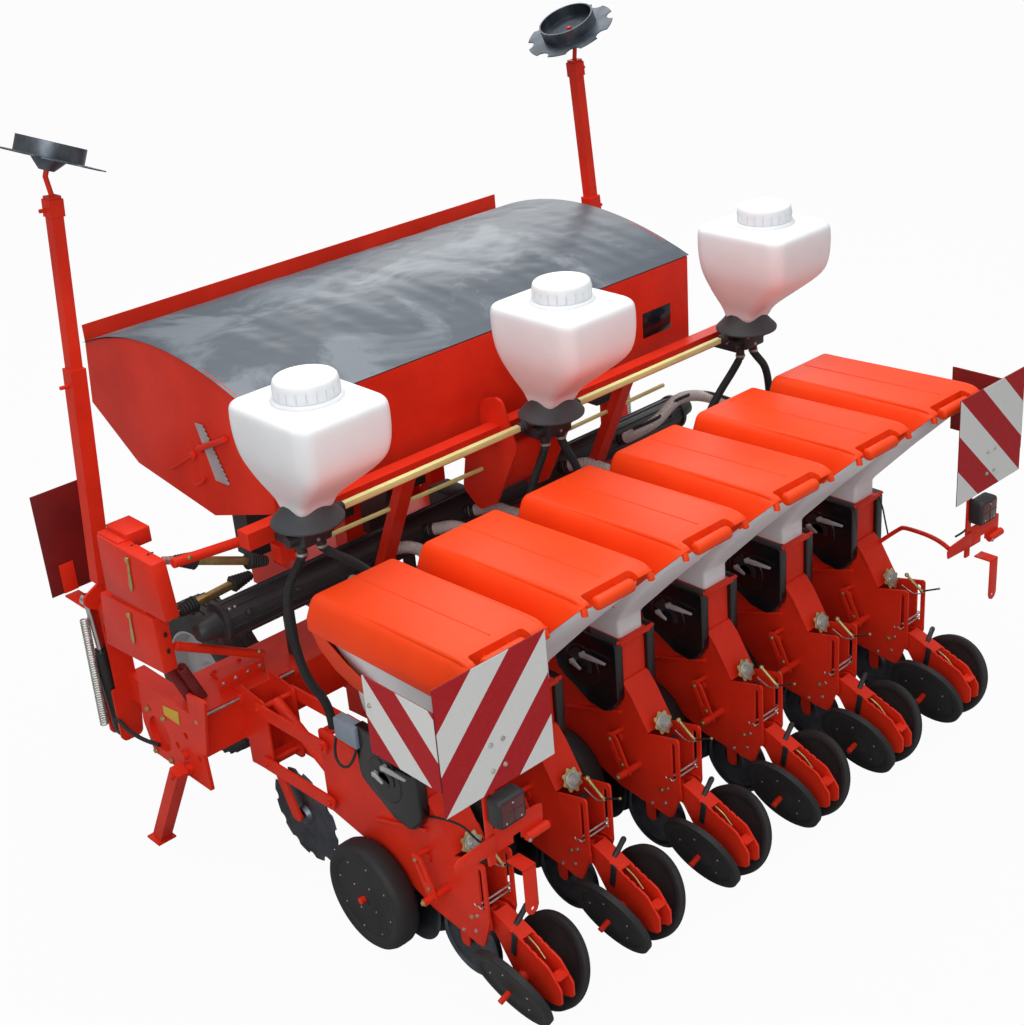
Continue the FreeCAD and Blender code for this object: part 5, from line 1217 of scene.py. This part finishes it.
class PLANTER_OT_hoses(bpy.types.Operator):
    """Corrugated air hoses to the seed meters and granule hoses to the row heads"""
    bl_idname = "planter.hoses"
    bl_label = "Hoses"

    def execute(self, context):
        pitch = context.scene.planter_sizes.hose
        air, granules, clamps = [], [], []
        for number, x in ROWS:
            spots = self.air_route(number, x + HOSE_SIDE)
            air.append(ribbed(spots, 22 if number == 1 else 24, pitch))
            for near, far in (spots[:2], spots[:-3:-1]):
                way = (mm(*far) - mm(*near)).normalized()
                clamp = lathe([(0, 24), (2, 26), (16, 26), (18, 24)], steps=28)
                clamps.append(moved(clamp, at(mm(*near) + way * 0.004, way)))
            granules.append(ribbed(self.granule_route(number, x - 20), 16, pitch * 0.7))
        air = gather(air)
        finish(air, "air_hoses", "grey_pvc")
        coil = [(805, 1365, 1030), (880, 1270, 1080), (940, 1330, 1070), (985, 1275, 1126),
                (1050, 1262, 1128), (1100, 1310, 1110), (1160, 1235, 1114), (1200, 1110, 1078)]
        finish(wire(coil, 7), "sensor_cable", "rubber")
        finish(gather(granules), "granule_hoses", "rubber")
        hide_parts("hoses")
        finish(gather(clamps), "hose_clamps", "black_nylon")
        return {"FINISHED"}

    def air_route(self, number, side):
        """Spots of a row's air hose, from the manifold to the row's seed meter."""
        outlet = OUTLETS[number - 1]
        meter = [(side, 745, 790), (side, 691, 778.5)]
        if number == 1:
            return [(-655, 1446, 905), (-690, 1320, 940), (-790, 1140, 962), (-900, 1030, 950),
                    (-1030, 910, 900), (-1090, 810, 830), *meter]
        fall = [(side, 980, 860), (side, 850, 830), *meter]
        if number == 6:
            return [(outlet, 1424, 969), (805, 1370, 1000), (892, 1300, 1052), (976, 1300, 1104),
                    (1050, 1290, 1119), (1156, 1260, 1090), (1200, 1120, 1050), (1180, 980, 960), *fall]
        return [(outlet, 1424, 969), (outlet + 20, 1392, 978), (outlet + 70, 1352, 984),
                (outlet + 100, 1280, 960), (outlet * 0.2 + side * 0.8, 1120, 900), *fall]

    def granule_route(self, number, end):
        """Spots of a row's granule hose, from a spout of its tank to the head of the row."""
        start = TANKS[(number - 1) // 2][0] + (-SPOUT_SIDE if number % 2 else SPOUT_SIDE)
        way = end - start
        foot = [(end, LINK_REAR + 5, 800), (end, LINK_REAR + 5, LINK_HIGH + 48.3)]
        if number in (1, 6):
            out = -1 if number == 1 else 1
            return [(start, 990, 1354), (start + out * 20, 990, 1330), (out * 1225, 988, 1257),
                    (out * 1234, 980, 1107), (out * 1215, 965, 930), *foot]
        return [(start, 990, 1354), (start + way * 0.08, 990, 1320), (start + way * 0.38, 990, 1230),
                (start + way * 0.7, 985, 1090), (end, 965, 920), *foot]


class PLANTER_OT_marker_details(bpy.types.Operator):
    """Return springs and hoses of the row markers"""
    bl_idname = "planter.marker_details"
    bl_label = "Row markers"

    def execute(self, context):
        for side, name in SIDES:
            mirror = SAME if side < 0 else FLIP
            low, high = (-1466, 2030, 420), (-1456, 2030, 880)
            coil = spring(mm(*low), mm(*high), 15, 3, 45)
            coil = finish(repeat(coil, [mirror]), f"marker_spring_{name}", "bright_zinc", None)
            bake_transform(coil)
            hose = wire([(-1430, 1999, 449), (-1424, 1950, 418), (-1420, 1875, 411), (-1412, 1800, 414),
                         (-1404, 1738, 424)], 8, 12)
            finish(repeat(hose, [mirror]), f"marker_hose_{name}", "rubber")
        return {"FINISHED"}


class PLANTER_OT_hopper_details(bpy.types.Operator):
    """Quadrant, levers and window of the fertiliser hopper"""
    bl_idname = "planter.hopper_details"
    bl_label = "Hopper details"

    def execute(self, context):
        (low_y, low_z), (high_y, high_z), gaps = (1522, 1420), (1634, 1612), 13
        teeth = [(1604, 1416), (low_y, low_z)]
        for i in range(gaps + 1):
            y, z = low_y + (high_y - low_y) * i / gaps, low_z + (high_z - low_z) * i / gaps
            teeth += [(y, z), (y - 7, z + 9)]
        teeth += [(1682, 1616)]
        quadrant = plate(teeth, -1056.5, -1053, "x", 0.6, 1)
        finish(quadrant, "rate_quadrant", "silver_plate")
        lever = bar((-1064, 1671, 1524), (-1064, 1480, 1610), 11)
        thin = wire([(-1060, 1895, 1382), (-1060, 1728, 1482)], 5, smooth=False)
        handle = wire([(-1060, 1752, 1364), (-1062, 1700, 1370), (-1060, 1672, 1407)], 6)
        hubs = [lathe([(0, 16), (10, 16), (12, 12)], (-1053, y, z), -X, 20) for y,
                z in ((1671, 1524), (1728, 1482))]
        finish(gather([lever, thin, handle] + hubs), "rate_levers", "powder_coat")
        low, high = HOPPER_REAR
        slope = (high[0] - low[0]) / (high[1] - low[1])
        pane = plate([(776, 1462), (940, 1462), (940, 1568), (776, 1568)], -2, 2.5, "y", 1.5)
        for vertex in pane.data.vertices:
            # the pane lies in the leaning rear wall
            vertex.co.y += 1.25 + (low[0] + slope * (vertex.co.z * 1000 - low[1]) - ORIGIN_Y) / 1000
        finish(pane, "hopper_window", "smoked_acrylic")
        return {"FINISHED"}


PIECES = [PLANTER_OT_finishes, PLANTER_OT_stage, PLANTER_OT_cover, PLANTER_OT_tanks, PLANTER_OT_seed_hoppers,
          PLANTER_OT_lids, PLANTER_OT_boards, PLANTER_OT_row_details, PLANTER_OT_wheels, PLANTER_OT_drives,
          PLANTER_OT_beam_details, PLANTER_OT_hoses, PLANTER_OT_marker_details, PLANTER_OT_hopper_details]


# ------------------------------------------------------------------ panel and start
class PLANTER_PT_panel(bpy.types.Panel):
    """Lists the planter's pieces"""
    bl_idname = "PLANTER_PT_panel"
    bl_label = "Precision planter"
    bl_space_type = "VIEW_3D"
    bl_region_type = "UI"
    bl_category = "Planter"

    def draw(self, context):
        for group in (context.scene.planter_looks, context.scene.planter_sizes):
            for name in group.__annotations__:
                self.layout.prop(group, name)
        for operator in PIECES:
            self.layout.operator(operator.bl_idname)


CLASSES = [PlanterLooks, PlanterSizes, *PIECES, PLANTER_PT_panel]


def register():
    """Adds the classes and hangs the settings on the scene."""
    for kind in CLASSES:
        bpy.utils.register_class(kind)
    bpy.types.Scene.planter_looks = bpy.props.PointerProperty(type=PlanterLooks)
    bpy.types.Scene.planter_sizes = bpy.props.PointerProperty(type=PlanterSizes)


def unregister():
    """Takes the settings and the classes away again."""
    del bpy.types.Scene.planter_looks
    del bpy.types.Scene.planter_sizes
    for kind in reversed(CLASSES):
        bpy.utils.unregister_class(kind)


def main():
    """Builds everything."""
    register()
    for operator in PIECES:
        group, name = operator.bl_idname.split(".")
        getattr(getattr(bpy.ops, group), name)()


if __name__ == "__main__":
    main()
